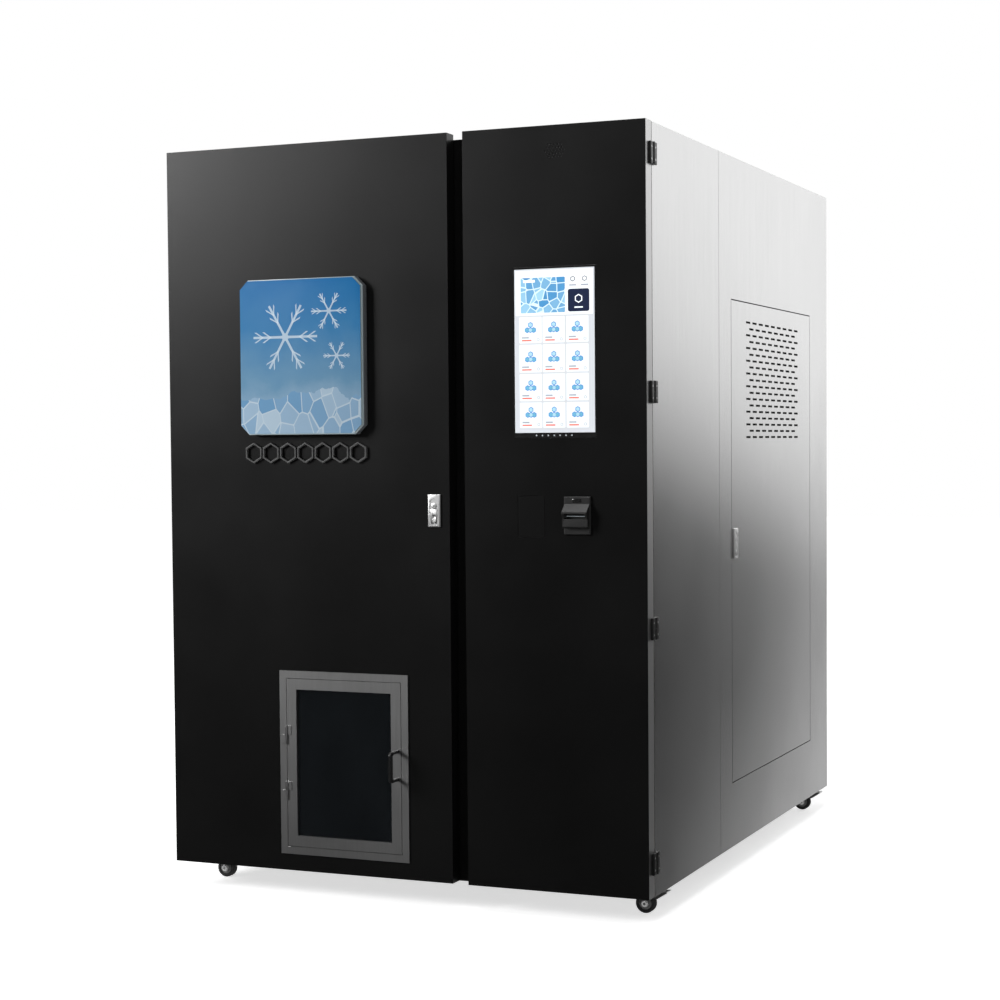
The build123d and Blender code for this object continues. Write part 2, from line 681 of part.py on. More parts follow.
def cabinet_hinge_half(side, middle):
    """Fixed half of a hinge: the leaf, the lower knuckle and the pin that stands in it."""
    z0, z1 = middle - HINGE_HEIGHT / 2, middle + HINGE_HEIGHT / 2
    low = middle - KNUCKLE_GAP / 2
    half = hinge_leaf(side, 1, z0, z1) + hinge_knuckle(side, 1, z0, low)
    axis = side * HINGE_AXIS_X
    return half + rod_z(axis, HINGE_AXIS_Y, HINGE_PIN_RADIUS, low, z1 + HINGE_PIN_END, PIN_SIDES)


def door_hinge_half(side, middle):
    """Moving half of a hinge: the leaf and the bored upper knuckle."""
    z0, z1 = middle - HINGE_HEIGHT / 2, middle + HINGE_HEIGHT / 2
    low = middle + KNUCKLE_GAP / 2
    half = hinge_leaf(side, -1, z0, z1) + hinge_knuckle(side, -1, low, z1)
    radius = HINGE_PIN_RADIUS + RUNNING
    axis = side * HINGE_AXIS_X
    return half - rod_z(axis, HINGE_AXIS_Y, radius, low - 1, z1 + 1, PIN_SIDES, bore=True)


def cabinet_hinge_leaves():
    """Eight fixed hinge halves on the side panels."""
    halves = [cabinet_hinge_half(side, middle) for side in (-1, 1) for middle in HINGE_HEIGHTS]
    return Compound(children=halves)


def left_door_hinge_leaves():
    """Four moving hinge halves on the left door's return."""
    return Compound(children=[door_hinge_half(-1, middle) for middle in HINGE_HEIGHTS])


def right_door_hinge_leaves():
    """Four moving hinge halves on the right door's return."""
    return Compound(children=[door_hinge_half(1, middle) for middle in HINGE_HEIGHTS])


# Left door


def door_pan(x0, x1):
    """A tall folded door pan, open at the back."""
    pan = block(x0, x1, 0, DOOR_DEPTH, DOOR_FOOT, DOOR_TOP)
    inside = (x0 + SHEET, x1 - SHEET, SHEET, DOOR_DEPTH + 1)
    return pan - block(*inside, DOOR_FOOT + SHEET, DOOR_TOP - SHEET)


def door_cover(x0, x1):
    """The sheet that closes a door pan's back, with three raised beads."""
    y1 = DOOR_DEPTH - SHEET / 2
    edge = SHEET + FIT
    cover = block(x0 + edge, x1 - edge, y1 - SHEET, y1, DOOR_FOOT + edge, DOOR_TOP - edge)
    half = BEAD_WIDTH / 2
    for i in range(BEAD_COUNT):
        z = DOOR_TOP - BEAD_FROM_TOP - i * BEAD_PITCH
        bead = [
            (y1 - SHEET / 2, z - half),
            (y1, z - half),
            (y1 + BEAD_RISE, z - half + 2 * BEAD_RISE),
            (y1 + BEAD_RISE, z + half - 2 * BEAD_RISE),
            (y1, z + half),
            (y1 - SHEET / 2, z + half),
        ]
        cover += prism_x(bead, x0 + BEAD_INSET, x1 - BEAD_INSET)
    return cover


def pick_tunnel():
    """The space of the pick-up frame's sleeve through the left door, with a clearance round it."""
    half = PICK_HALF + SHEET + FIT
    half_z = PICK_HALF_Z + SHEET + FIT
    return block(PICK_X - half, PICK_X + half, -1, DOOR_DEPTH + 1, PICK_Z - half_z, PICK_Z + half_z)


def left_door_skin():
    """Black coated pan with the pick-up opening and the lock's cut-out."""
    skin = door_pan(-HALF, LEFT_DOOR_END) - pick_tunnel()
    half = LOCK_BODY_WIDTH / 2 + FIT
    half_z = LOCK_BODY_HEIGHT / 2 + FIT
    x, z = LEFT_LOCK_X, LEFT_LOCK_CENTRE
    return skin - block(x - half, x + half, -1, SHEET + 1, z - half_z, z + half_z)


def left_door_back():
    """Cover sheet of the left door, pierced for the pick-up sleeve and the lock's shaft."""
    cover = door_cover(-HALF, LEFT_DOOR_END) - pick_tunnel()
    z = LEFT_LOCK_CENTRE + LOCK_PLUG_ABOVE
    radius = LOCK_SHAFT_RADIUS + SEAT
    return cover - rod_y(LEFT_LOCK_X, z, radius, SHEET, DOOR_DEPTH + 1, PIN_SIDES, bore=True)


def picture_outline(inset):
    """The picture box's outline, moved in by an inset: a rectangle with its four corners cut off."""
    half, half_z = PICTURE_WIDTH / 2 - inset, PICTURE_HEIGHT / 2 - inset
    cut = PICTURE_CORNER - inset * (2 - math.sqrt(2))
    quarter = [(half - cut, half_z), (half, half_z - cut)]
    right = quarter + [(x, -z) for x, z in reversed(quarter)]
    left = [(-x, z) for x, z in reversed(right)]
    return [(PICTURE_X + x, PICTURE_Z + z) for x, z in right + left]


def picture_box():
    """Shallow light box that carries the picture, hollow at the back for its lamps."""
    front = -(PICTURE_DEPTH - PICTURE_FACE_THICK)
    return prism_y(picture_outline(0), front, 0) - prism_y(picture_outline(PICTURE_WALL), front + SHEET, 1)


def picture_face():
    """Clear printed face plate, set in a little from the box's edge."""
    return prism_y(picture_outline(PICTURE_INSET), -PICTURE_DEPTH, -(PICTURE_DEPTH - PICTURE_FACE_THICK))


def ring_row():
    """Seven raised hexagon rings below the picture."""
    rings = []
    z = DOOR_FOOT + RING_CENTRE_Z
    for i in range(RING_COUNT):
        x = PICTURE_X + (i - (RING_COUNT - 1) / 2) * RING_PITCH
        ring = prism_y(hexagon(x, z, RING_RADIUS, 30), -RING_THICK, 0)
        rings.append(ring - prism_y(hexagon(x, z, RING_RADIUS - RING_STROKE, 30), -RING_THICK - 1, 1))
    return Compound(children=rings)


# Pick-up door in the left door


def pick_hinge_middles():
    """Middle heights of the two small hinges on the pick-up door."""
    return [PICK_Z - PICK_HINGE_FROM_CENTRE, PICK_Z + PICK_HINGE_FROM_CENTRE]


def pick_knuckle(z0, z1, side):
    """One knuckle with its leaf on the front of a stile; side is -1 for the frame and 1 for the door."""
    leaf_x = sorted((PICK_AXIS_X + side * PICK_SEAM, PICK_AXIS_X + side * PICK_HINGE_LEAF))
    knuckle = block(*leaf_x, -PICK_FRAME_THICK - SHEET, -PICK_FRAME_THICK, z0, z1)
    web_x = sorted((PICK_AXIS_X, PICK_AXIS_X + side * 2 * PICK_SEAM))
    knuckle += block(*web_x, -PICK_AXIS_OUT, -PICK_FRAME_THICK - FIT, z0, z1)
    return knuckle + rod_z(PICK_AXIS_X, -PICK_AXIS_OUT, PICK_KNUCKLE_RADIUS, z0, z1, PIN_SIDES)


def pick_up_frame():
    """Stainless frame round the pick-up door, with a sleeve through the left door and a stop inside it."""
    half, half_z = PICK_FRAME_WIDTH / 2, PICK_FRAME_HEIGHT / 2
    spans = (PICK_X - half, PICK_X + half, -PICK_FRAME_THICK, 0, PICK_Z - half_z, PICK_Z + half_z)
    frame = ring_plate(*spans, PICK_FRAME_BORDER)
    half, half_z = PICK_HALF + SHEET, PICK_HALF_Z + SHEET
    sleeve = (PICK_X - half, PICK_X + half, -PICK_FRAME_THICK, DOOR_DEPTH, PICK_Z - half_z, PICK_Z + half_z)
    frame += ring_plate(*sleeve, SHEET)
    stop = PICK_DOOR_THICK - PICK_FRAME_THICK + SEAT
    stops = (PICK_X - half, PICK_X + half, stop, stop + SHEET, PICK_Z - half_z, PICK_Z + half_z)
    frame += ring_plate(*stops, PICK_STOP)
    for middle in pick_hinge_middles():
        low = middle - KNUCKLE_GAP / 2
        top = middle + PICK_HINGE_HEIGHT / 2
        frame += pick_knuckle(middle - PICK_HINGE_HEIGHT / 2, low, -1)
        frame += rod_z(PICK_AXIS_X, -PICK_AXIS_OUT, PICK_PIN_RADIUS, low, top, PIN_SIDES)
    return frame


def pick_up_door_frame():
    """Stainless stiles and rails of the pick-up door, rebated at the back for the glass."""
    half, half_z = PICK_HALF - PICK_SEAM, PICK_HALF_Z - PICK_SEAM
    y0 = -PICK_FRAME_THICK
    y1 = y0 + PICK_DOOR_THICK
    frame = ring_plate(PICK_X - half, PICK_X + half, y0, y1, PICK_Z - half_z, PICK_Z + half_z, PICK_STILE)
    deep, deep_z = half - PICK_STILE + GLASS_REBATE, half_z - PICK_STILE + GLASS_REBATE
    rebate = y1 - GLASS_THICK - 2 * SEAT
    frame -= block(PICK_X - deep, PICK_X + deep, rebate, y1 + 1, PICK_Z - deep_z, PICK_Z + deep_z)
    radius = PICK_PIN_RADIUS + RUNNING
    for middle in pick_hinge_middles():
        low, top = middle + KNUCKLE_GAP / 2, middle + PICK_HINGE_HEIGHT / 2
        frame += pick_knuckle(low, top, 1)
        frame -= rod_z(PICK_AXIS_X, -PICK_AXIS_OUT, radius, low - 1, top + 1, PIN_SIDES, bore=True)
    return frame


def pick_up_glass():
    """Dark tinted pane in the pick-up door's rebate."""
    inset = PICK_SEAM + PICK_STILE - GLASS_REBATE + SEAT
    half, half_z = PICK_HALF - inset, PICK_HALF_Z - inset
    y1 = PICK_DOOR_THICK - PICK_FRAME_THICK - SEAT
    return block(PICK_X - half, PICK_X + half, y1 - GLASS_THICK, y1, PICK_Z - half_z, PICK_Z + half_z)


def pick_up_handle():
    """Black bow handle with rounded corners."""
    plane = Plane(origin=(HANDLE_X, -PICK_FRAME_THICK, HANDLE_Z), x_dir=(0, 0, 1), z_dir=(1, 0, 0))
    outer = Pos(0, HANDLE_REACH / 2) * Rectangle(HANDLE_SPACING + HANDLE_BAR, HANDLE_REACH)
    outer = fillet(outer.vertices().group_by(Axis.Y)[-1], HANDLE_CORNER)
    reach = HANDLE_REACH - HANDLE_GRIP_DEPTH
    inner = Pos(0, reach / 2) * Rectangle(HANDLE_SPACING - HANDLE_BAR, reach)
    inner = fillet(inner.vertices().group_by(Axis.Y)[-1], HANDLE_INNER_CORNER)
    return extrude(plane * (outer - inner), amount=HANDLE_BAR / 2, both=True)


# Flush lock, drawn with its face towards -Y and its plate's centre at the origin


def lock_pivot():
    """The paddle's pivot as (y, z), just inside its upper end."""
    top = LOCK_PLUG_ABOVE - LOCK_PADDLE_BELOW_PLUG
    return (-LOCK_PROUD + LOCK_PADDLE_THICK / 2 + 2 * SEAT, top - LOCK_PADDLE_THICK / 2)


def lock_frame():
    """Chromed plate and body with the plug's bore and the paddle's pocket."""
    half, half_z = LOCK_WIDTH / 2, LOCK_HEIGHT / 2
    plate = block(-half, half, -LOCK_PROUD, 0, -half_z, half_z)
    plate = chamfer(plate.faces().sort_by(Axis.Y)[0].edges(), LOCK_BEVEL)
    half, half_z = LOCK_BODY_WIDTH / 2, LOCK_BODY_HEIGHT / 2
    plate += block(-half, half, 0, LOCK_BODY_DEPTH, -half_z, half_z)
    radius = LOCK_PLUG_RADIUS + RUNNING
    through = (-LOCK_PROUD - 1, LOCK_BODY_DEPTH + 1)
    plate -= rod_y(0, LOCK_PLUG_ABOVE, radius, *through, BODY_SIDES, bore=True)
    top = LOCK_PLUG_ABOVE - LOCK_PADDLE_BELOW_PLUG
    bottom = top - LOCK_PADDLE_LENGTH - LOCK_FINGER_ROOM
    swing = LOCK_PADDLE_THICK / 2 * (math.sqrt(2) - 1) + SEAT
    half = LOCK_PADDLE_WIDTH / 2 + 2 * SEAT
    plate -= block(-half, half, -LOCK_PROUD - 1, LOCK_POCKET_FLOOR, bottom, top + swing)
    pivot_y, pivot_z = lock_pivot()
    reach = half + LOCK_PIVOT_END
    radius = LOCK_PIVOT_RADIUS + RUNNING
    return plate - rod_x(pivot_y, pivot_z, radius, -reach, reach, PIN_SIDES, bore=True)


def lock_paddle():
    """Pull paddle that swings out at its lower end on a cross pin."""
    pivot_y, pivot_z = lock_pivot()
    half, half_x = LOCK_PADDLE_THICK / 2, LOCK_PADDLE_WIDTH / 2
    top = pivot_z + half
    foot = top - LOCK_PADDLE_LENGTH
    side = [(half_x, top), (half_x, foot + LOCK_PADDLE_TAPER), (half_x - LOCK_PADDLE_TAPER, foot)]
    outline = side + [(-x, z) for x, z in reversed(side)]
    paddle = prism_y(outline, pivot_y - half, pivot_y + half)
    reach = half_x + LOCK_PIVOT_END
    return paddle + rod_x(pivot_y, pivot_z, LOCK_PIVOT_RADIUS, -reach, reach, PIN_SIDES)


def lock_plug(cam_y):
    """Key plug and its tail, with the cam that hangs down until the key turns it; cam_y is its front."""
    z = LOCK_PLUG_ABOVE
    front = -LOCK_PROUD + SEAT
    plug = rod_y(0, z, LOCK_PLUG_RADIUS, front, LOCK_BODY_DEPTH - SHEET, BODY_SIDES)
    half = LOCK_KEYWAY / 2
    plug -= block(-half, half, front - 1, front + SHEET, z - LOCK_SHAFT_RADIUS, z + LOCK_SHAFT_RADIUS)
    cam_back = cam_y + LOCK_CAM_THICK
    plug += rod_y(0, z, LOCK_SHAFT_RADIUS, LOCK_BODY_DEPTH - SHEET, cam_back, PIN_SIDES)
    half = LOCK_CAM_WIDTH / 2
    return plug + block(-half, half, cam_y, cam_back, z - LOCK_CAM_REACH, z + half)


FRONT_LOCK = Pos(LEFT_LOCK_X, 0, LEFT_LOCK_CENTRE)
SIDE_LOCK = Pos(HALF, ACCESS_LOCK_Y, ACCESS_LOCK_CENTRE) * Rot(0, 0, 90)


def left_lock_frame():
    """Lock body of the left door."""
    return FRONT_LOCK * lock_frame()


def left_lock_paddle():
    """Pull paddle of the left door's lock."""
    return FRONT_LOCK * lock_paddle()


def left_key_plug():
    """Key plug of the left door, whose cam turns behind the mullion."""
    return FRONT_LOCK * lock_plug(BEHIND_FRAME)


def side_lock_frame():
    """Lock body of the access door."""
    return SIDE_LOCK * lock_frame()


def side_lock_paddle():
    """Pull paddle of the access door's lock."""
    return SIDE_LOCK * lock_paddle()


def side_key_plug():
    """Key plug of the access door, whose cam turns behind the stop lip."""
    return SIDE_LOCK * lock_plug(ACCESS_CAM_DEPTH)


# Right door


def speaker_holes():
    """Centres of the speaker's holes, in staggered rows."""
    places = []
    for row, count in enumerate(SPEAKER_ROWS):
        z = SPEAKER_Z + ((len(SPEAKER_ROWS) - 1) / 2 - row) * SPEAKER_ROW
        for i in range(count):
            places.append((SPEAKER_X + (i - (count - 1) / 2) * SPEAKER_PITCH, z))
    return places


def right_door_skin():
    """Black coated pan, pierced for the screen, the blank plate and the speaker."""
    skin = door_pan(RIGHT_DOOR_START, HALF)
    cut_outs = (
        (SCREEN_LEFT, SCREEN_FOOT, SCREEN_WIDTH, SCREEN_HEIGHT, FIT),
        (BLANK_LEFT, BLANK_FOOT, BLANK_WIDTH, BLANK_HEIGHT, BLANK_GAP),
    )
    for left, foot, width, height, gap in cut_outs:
        x0, z0 = RIGHT_DOOR_START + left, DOOR_FOOT + foot
        skin -= block(x0 - gap, x0 + width + gap, -1, SHEET + 1, z0 - gap, z0 + height + gap)
    for x, z in speaker_holes():
        skin -= prism_y(hexagon(x, z, SPEAKER_HOLE), -1, SHEET + 1)
    return skin


def right_door_back():
    """Cover sheet of the right door, with the two guides of its inner bolt."""
    cover = door_cover(RIGHT_DOOR_START, HALF)
    half = BOLT_HEIGHT / 2
    wall = BOLT_GUIDE_WALL
    z0, z1 = BOLT_Z - half, BOLT_Z + half
    space = (BEHIND_FRAME - BOLT_ROOM, BOLT_BACK + BOLT_ROOM, z0 - BOLT_ROOM, z1 + BOLT_ROOM)
    for x0 in (BOLT_X + wall, BOLT_X + BOLT_LENGTH - wall - BOLT_GUIDE):
        x1 = x0 + BOLT_GUIDE
        guide = block(x0, x1, DOOR_DEPTH - SHEET, BOLT_BACK + wall, z0 - wall, z1 + wall)
        cover += guide - block(x0 - 1, x1 + 1, *space)
    return cover


def right_door_bolt():
    """Slide bolt that holds the right door from inside, drawn back and ready to open."""
    z0, z1 = BOLT_Z - BOLT_HEIGHT / 2, BOLT_Z + BOLT_HEIGHT / 2
    bolt = block(BOLT_X, BOLT_X + BOLT_LENGTH, BEHIND_FRAME, BOLT_BACK, z0, z1)
    x0 = BOLT_X + BOLT_KNOB_AT
    return bolt + block(x0, x0 + BOLT_KNOB, BOLT_BACK, BOLT_BACK + BOLT_KNOB_REACH, z0, z1)


def touch_screen():
    """Upright touch display: a glass front that fills its cut-out, on a flanged shallow case."""
    x0, z0 = RIGHT_DOOR_START + SCREEN_LEFT, DOOR_FOOT + SCREEN_FOOT
    x1, z1 = x0 + SCREEN_WIDTH, z0 + SCREEN_HEIGHT
    m = FLANGE_MARGIN
    screen = block(x0, x1, -SCREEN_PROUD, SHEET + FIT, z0, z1)
    screen += block(x0 - m, x1 + m, SHEET + FIT, SHEET + FIT + SCREEN_GLASS, z0 - m, z1 + m)
    return screen + block(x0 + m, x1 - m, SHEET + SCREEN_GLASS, SCREEN_CASE_DEPTH, z0 + m, z1 - m)


def blank_plate():
    """Flush plate over the unused cut-out, with a flange behind the skin."""
    x0, z0 = RIGHT_DOOR_START + BLANK_LEFT, DOOR_FOOT + BLANK_FOOT
    x1, z1 = x0 + BLANK_WIDTH, z0 + BLANK_HEIGHT
    m = FLANGE_MARGIN
    plate = block(x0, x1, 0, SHEET + FIT, z0, z1)
    return plate + block(x0 - m, x1 + m, SHEET + FIT, 2 * SHEET + FIT, z0 - m, z1 + m)


def card_reader():
    """Moulded reader: a bevelled base, a hood over the slot and a sloping lip below it."""
    x0, z0 = RIGHT_DOOR_START + READER_LEFT, DOOR_FOOT + READER_FOOT
    x1 = x0 + READER_WIDTH
    base = block(x0, x1, -READER_BASE, 0, z0, z0 + READER_HEIGHT)
    base = chamfer(base.faces().sort_by(Axis.Y)[0].edges(), READER_BEVEL)
    slot_z0 = z0 + READER_SLOT_FOOT
    slot_z1 = slot_z0 + READER_SLOT_HEIGHT
    hood = [
        (-READER_BASE / 2, z0 + READER_HOOD_TOP),
        (-READER_BASE, z0 + READER_HOOD_TOP),
        (-READER_HOOD_REACH, z0 + READER_HOOD_EDGE),
        (-READER_HOOD_REACH, slot_z1),
        (-READER_LIP_REACH, slot_z0),
        (-READER_LIP_REACH, z0 + READER_LIP_FOOT + READER_BEVEL),
        (-READER_LIP_REACH + READER_BEVEL, z0 + READER_LIP_FOOT),
        (-READER_BASE / 2, z0 + READER_LIP_FOOT),
    ]
    reader = base + prism_x(hood, x0 + READER_BEVEL, x1 - READER_BEVEL)
    middle = (x0 + x1) / 2
    half = READER_SLOT_WIDTH / 2
    deep = READER_SLOT_DEPTH - READER_HOOD_REACH
    return reader - block(middle - half, middle + half, -READER_HOOD_REACH - 1, deep, slot_z0, slot_z1)


def speaker():
    """Round speaker behind the holes, with its magnet at the back."""
    front = SHEET + FIT
    rim = rod_y(SPEAKER_X, SPEAKER_Z, SPEAKER_RADIUS, front, front + 2 * SHEET, BODY_SIDES)
    return rim + rod_y(SPEAKER_X, SPEAKER_Z, SPEAKER_MAGNET, front, front + SPEAKER_DEPTH, BODY_SIDES)


# Access door in the right side


def louvre_outlines():
    """The louvre slots as one sketch, in staggered rows."""
    face = Plane(origin=(HALF + 1, 0, 0), x_dir=(0, 1, 0), z_dir=(1, 0, 0))
    slots = []
    for row in range(LOUVRE_ROWS):
        count = LOUVRE_SLOTS - row % 2
        z = ACCESS_Z1 - LOUVRE_TOP_BELOW_EDGE - row * LOUVRE_ROW_PITCH
        for i in range(count):
            y = COIL_Y + (i - (count - 1) / 2) * LOUVRE_PITCH
            slots.append(Pos(y, z) * Rectangle(LOUVRE_SLOT_LENGTH, LOUVRE_SLOT_HEIGHT))
    return face * (Sketch() + slots)


def side_door_skin():
    """Brushed access door with the louvre slots, the lock's cut-out and a pivot pin at each end."""
    inner = HALF - ACCESS_THICK
    skin = block(inner, HALF, ACCESS_START, ACCESS_END, ACCESS_Z0, ACCESS_Z1)
    hollow = (ACCESS_START + SHEET, ACCESS_END - SHEET, ACCESS_Z0 + SHEET, ACCESS_Z1 - SHEET)
    skin -= block(inner - 1, HALF - SHEET, *hollow)
    skin -= extrude(louvre_outlines(), amount=-SHEET - 2)
    half, half_z = LOCK_BODY_WIDTH / 2 + FIT, LOCK_BODY_HEIGHT / 2 + FIT
    y, z = ACCESS_LOCK_Y, ACCESS_LOCK_CENTRE
    skin -= block(HALF - SHEET - 1, HALF + 1, y - half, y + half, z - half_z, z + half_z)
    for edge, way in ((ACCESS_Z1, 1), (ACCESS_Z0, -1)):
        z0, z1 = sorted((edge - way * SHEET, edge + way * ACCESS_PIN_LENGTH))
        skin += rod_z(ACCESS_AXIS_X, ACCESS_AXIS_Y, ACCESS_PIN_RADIUS, z0, z1, PIN_SIDES)
    return skin


# Casters, drawn with the swivel axis at the origin and the wheel trailing along +X


def caster_plate():
    """Fixed top plate and ball race of one caster, bored for the kingpin."""
    half = PLATE_WIDTH / 2
    plate = block(-half, half, -half, half, CASTER_HEIGHT - PLATE_THICK, CASTER_HEIGHT)
    race_foot = CROWN_Z + FORK_SHEET + SEAT
    plate += rod_z(0, 0, RACE_RADIUS, race_foot, CASTER_HEIGHT - 1, BODY_SIDES)
    radius = KINGPIN_RADIUS + RUNNING
    return plate - rod_z(0, 0, radius, race_foot - 1, CASTER_HEIGHT - 1, PIN_SIDES, bore=True)


def caster_plates():
    """Four caster top plates under the base."""
    return Compound(children=[Pos(x, y, 0) * caster_plate() for x, y, _ in CASTERS.values()])


PEDAL_OFF_AXLE = WHEEL_RADIUS + PEDAL_PIVOT_OFF_TYRE
PEDAL_X, PEDAL_Z = at_angle(WHEEL_TRAIL, WHEEL_RADIUS, PEDAL_OFF_AXLE, PEDAL_PIVOT_ANGLE)


def raised(point, degrees):
    """A point turned up about the pedal's pivot."""
    angle = math.radians(degrees)
    x, z = point[0] - PEDAL_X, point[1] - PEDAL_Z
    turned_x = PEDAL_X + x * math.cos(angle) - z * math.sin(angle)
    return (turned_x, PEDAL_Z + x * math.sin(angle) + z * math.cos(angle))


def between(start, end, share):
    """The point at that share of the way from start to end."""
    return (start[0] + (end[0] - start[0]) * share, start[1] + (end[1] - start[1]) * share)


def caster_fork():
    """Pressed fork: crown, two cheeks with ears for the pedal, kingpin and the axle bolt."""
    cut = FORK_OUTER / 2
    ear = 2 * PEDAL_PIVOT_RADIUS
    back = PEDAL_X + ear
    top = CROWN_Z + FORK_SHEET
    side = [(-FORK_FRONT, FORK_OUTER - cut), (cut - FORK_FRONT, FORK_OUTER), (back, FORK_OUTER)]
    fork = prism_z(side + [(x, -y) for x, y in reversed(side)], CROWN_Z, top)
    nose = arc_points(WHEEL_TRAIL, WHEEL_RADIUS, FORK_BOSS, 215, 380, 7)
    cheek = [(cut - FORK_FRONT, top)] + nose + [(back, PEDAL_Z - ear), (back, top)]
    for y0 in (-FORK_OUTER, FORK_INNER):
        fork += prism_y(cheek, y0, y0 + FORK_SHEET)
    radius = PEDAL_PIVOT_RADIUS + RUNNING
    fork -= rod_y(PEDAL_X, PEDAL_Z, radius, -FORK_OUTER - 1, FORK_OUTER + 1, PIN_SIDES, bore=True)
    for y0 in (-FORK_OUTER - AXLE_HEAD_THICK, FORK_OUTER):
        fork += rod_y(WHEEL_TRAIL, WHEEL_RADIUS, AXLE_HEAD, y0, y0 + AXLE_HEAD_THICK, PIN_SIDES)
    fork += rod_z(0, 0, KINGPIN_RADIUS, CROWN_Z, CASTER_HEIGHT - PLATE_THICK, PIN_SIDES)
    return fork + rod_y(WHEEL_TRAIL, WHEEL_RADIUS, AXLE_RADIUS, -FORK_OUTER, FORK_OUTER, PIN_SIDES)


def caster_wheel():
    """Wheel with a bored hub and a bevelled tyre, round the axle bolt."""
    half = WHEEL_WIDTH / 2
    wheel = rod_y(WHEEL_TRAIL, WHEEL_RADIUS, WHEEL_RADIUS, -half, half, WHEEL_SIDES)
    rims = wheel.edges().group_by(Axis.Y)
    wheel = chamfer(rims[0] + rims[-1], WHEEL_BEVEL)
    radius = AXLE_RADIUS + RUNNING
    return wheel - rod_y(WHEEL_TRAIL, WHEEL_RADIUS, radius, -half - 1, half + 1, PIN_SIDES, bore=True)


def caster_pedal():
    """Brake pedal: two cheeks outside the fork, a pad over the tyre and a flared tail."""
    inner = FORK_OUTER + SEAT
    outer = inner + PEDAL_SHEET
    ear = 2 * PEDAL_PIVOT_RADIUS
    pressed = at_angle(WHEEL_TRAIL, WHEEL_RADIUS, WHEEL_RADIUS + PEDAL_PAD_GAP, PEDAL_PAD_ANGLE)
    pad_x, pad_z = raised(pressed, PEDAL_TRAVEL)
    low, high = (pad_x, PEDAL_Z), (pad_x, PEDAL_Z + PEDAL_SHEET)
    tip = (PEDAL_X + PEDAL_TAIL, PEDAL_Z + PEDAL_TAIL_RISE)
    tail = (tip[0] + PEDAL_SHEET, tip[1] - PEDAL_SHEET)
    cheek = arc_points(PEDAL_X, PEDAL_Z, ear, 270, 90, 5)
    cheek += [tip, tail, (pad_x + ear, pad_z), (pad_x, pad_z)]
    pedal = prism_y(cheek, -outer, -inner) + prism_y(cheek, inner, outer)
    pedal += prism_y([low, high, tip, tail], -outer, outer)
    flare = [between(low, tail, PEDAL_FLARE_FROM), between(high, tip, PEDAL_FLARE_FROM), tip, tail]
    pedal += prism_y(flare, -PEDAL_TAIL_WIDTH / 2, PEDAL_TAIL_WIDTH / 2)
    half = WHEEL_WIDTH / 2
    pedal += block(pad_x, pad_x + PEDAL_PAD_THICK, -half, half, pad_z, PEDAL_Z + 1)
    return pedal + rod_y(PEDAL_X, PEDAL_Z, PEDAL_PIVOT_RADIUS, -outer, outer, PIN_SIDES)


# Ice plant


def ice_hopper():
    """Insulated hopper with sloping sides, a round trough for the screw and ledges that carry it."""
    half = HOPPER_BOTTOM_WIDTH / 2
    slope_z = HOPPER_FOOT + HOPPER_SLOPE_TOP
    outer = [
        (HOPPER_LEFT, HOPPER_TOP),
        (HOPPER_LEFT, slope_z),
        (HOPPER_X - half, HOPPER_FOOT),
        (HOPPER_X + half, HOPPER_FOOT),
        (HOPPER_RIGHT, slope_z),
        (HOPPER_RIGHT, HOPPER_TOP),
    ]
    hopper = prism_y(outer, HOPPER_FRONT, HOPPER_BACK)
    room = AUGER_RADIUS + AUGER_ROOM
    y0, y1 = HOPPER_FRONT + HOPPER_WALL, HOPPER_BACK - HOPPER_WALL
    left, right = HOPPER_LEFT + HOPPER_WALL, HOPPER_RIGHT - HOPPER_WALL
    inner = [
        (left, HOPPER_TOP + 1),
        (left, slope_z),
        (HOPPER_X - room, AUGER_Z),
        (HOPPER_X + room, AUGER_Z),
        (right, slope_z),
        (right, HOPPER_TOP + 1),
    ]
    hopper -= prism_y(inner, y0, y1)
    hopper -= rod_y(HOPPER_X, AUGER_Z, room, HOPPER_FRONT - 1, y1)
    shaft = AUGER_SHAFT + RUNNING
    hopper -= rod_y(HOPPER_X, AUGER_Z, shaft, y1 - 1, HOPPER_BACK + 1, BODY_SIDES, bore=True)
    ledge = HOPPER_TOP - LEDGE_BELOW_TOP
    sides = (
        (-INNER, HOPPER_LEFT, -INNER, -INNER + LEDGE_THICK),
        (HOPPER_RIGHT, PARTITION_LEFT, PARTITION_LEFT - LEDGE_THICK, PARTITION_LEFT),
    )
    for x0, x1, wall0, wall1 in sides:
        hopper += block(x0, x1, HOPPER_FRONT, HOPPER_BACK, ledge, ledge + LEDGE_THICK)
        hopper += block(wall0, wall1, HOPPER_FRONT, HOPPER_BACK, ledge, ledge + LEDGE_RISE)
    return hopper


def hopper_auger():
    """Paddle screw that pushes the ice forwards: tilted paddles on a shaft that ends in the gearbox."""
    y0 = HOPPER_FRONT - AUGER_OVERHANG
    y1 = HOPPER_BACK + AUGER_SHAFT_IN_BOX
    screw = rod_y(HOPPER_X, AUGER_Z, AUGER_SHAFT, y0, y1, BODY_SIDES)
    reach = math.sqrt(AUGER_RADIUS**2 - (AUGER_PADDLE_WIDTH / 2) ** 2)
    paddle = Pos(0, 0, reach / 2) * Box(AUGER_PADDLE_WIDTH, AUGER_PADDLE_THICK, reach)
    inside = HOPPER_LENGTH - 2 * HOPPER_WALL
    for i in range(AUGER_PADDLES):
        y = HOPPER_FRONT + HOPPER_WALL + inside * (i + 0.5) / AUGER_PADDLES
        turned = Rot(0, AUGER_PADDLE_STEP * i, 0) * Rot(0, 0, AUGER_PADDLE_TILT) * paddle
        screw += Pos(HOPPER_X, y, AUGER_Z) * turned
    return screw


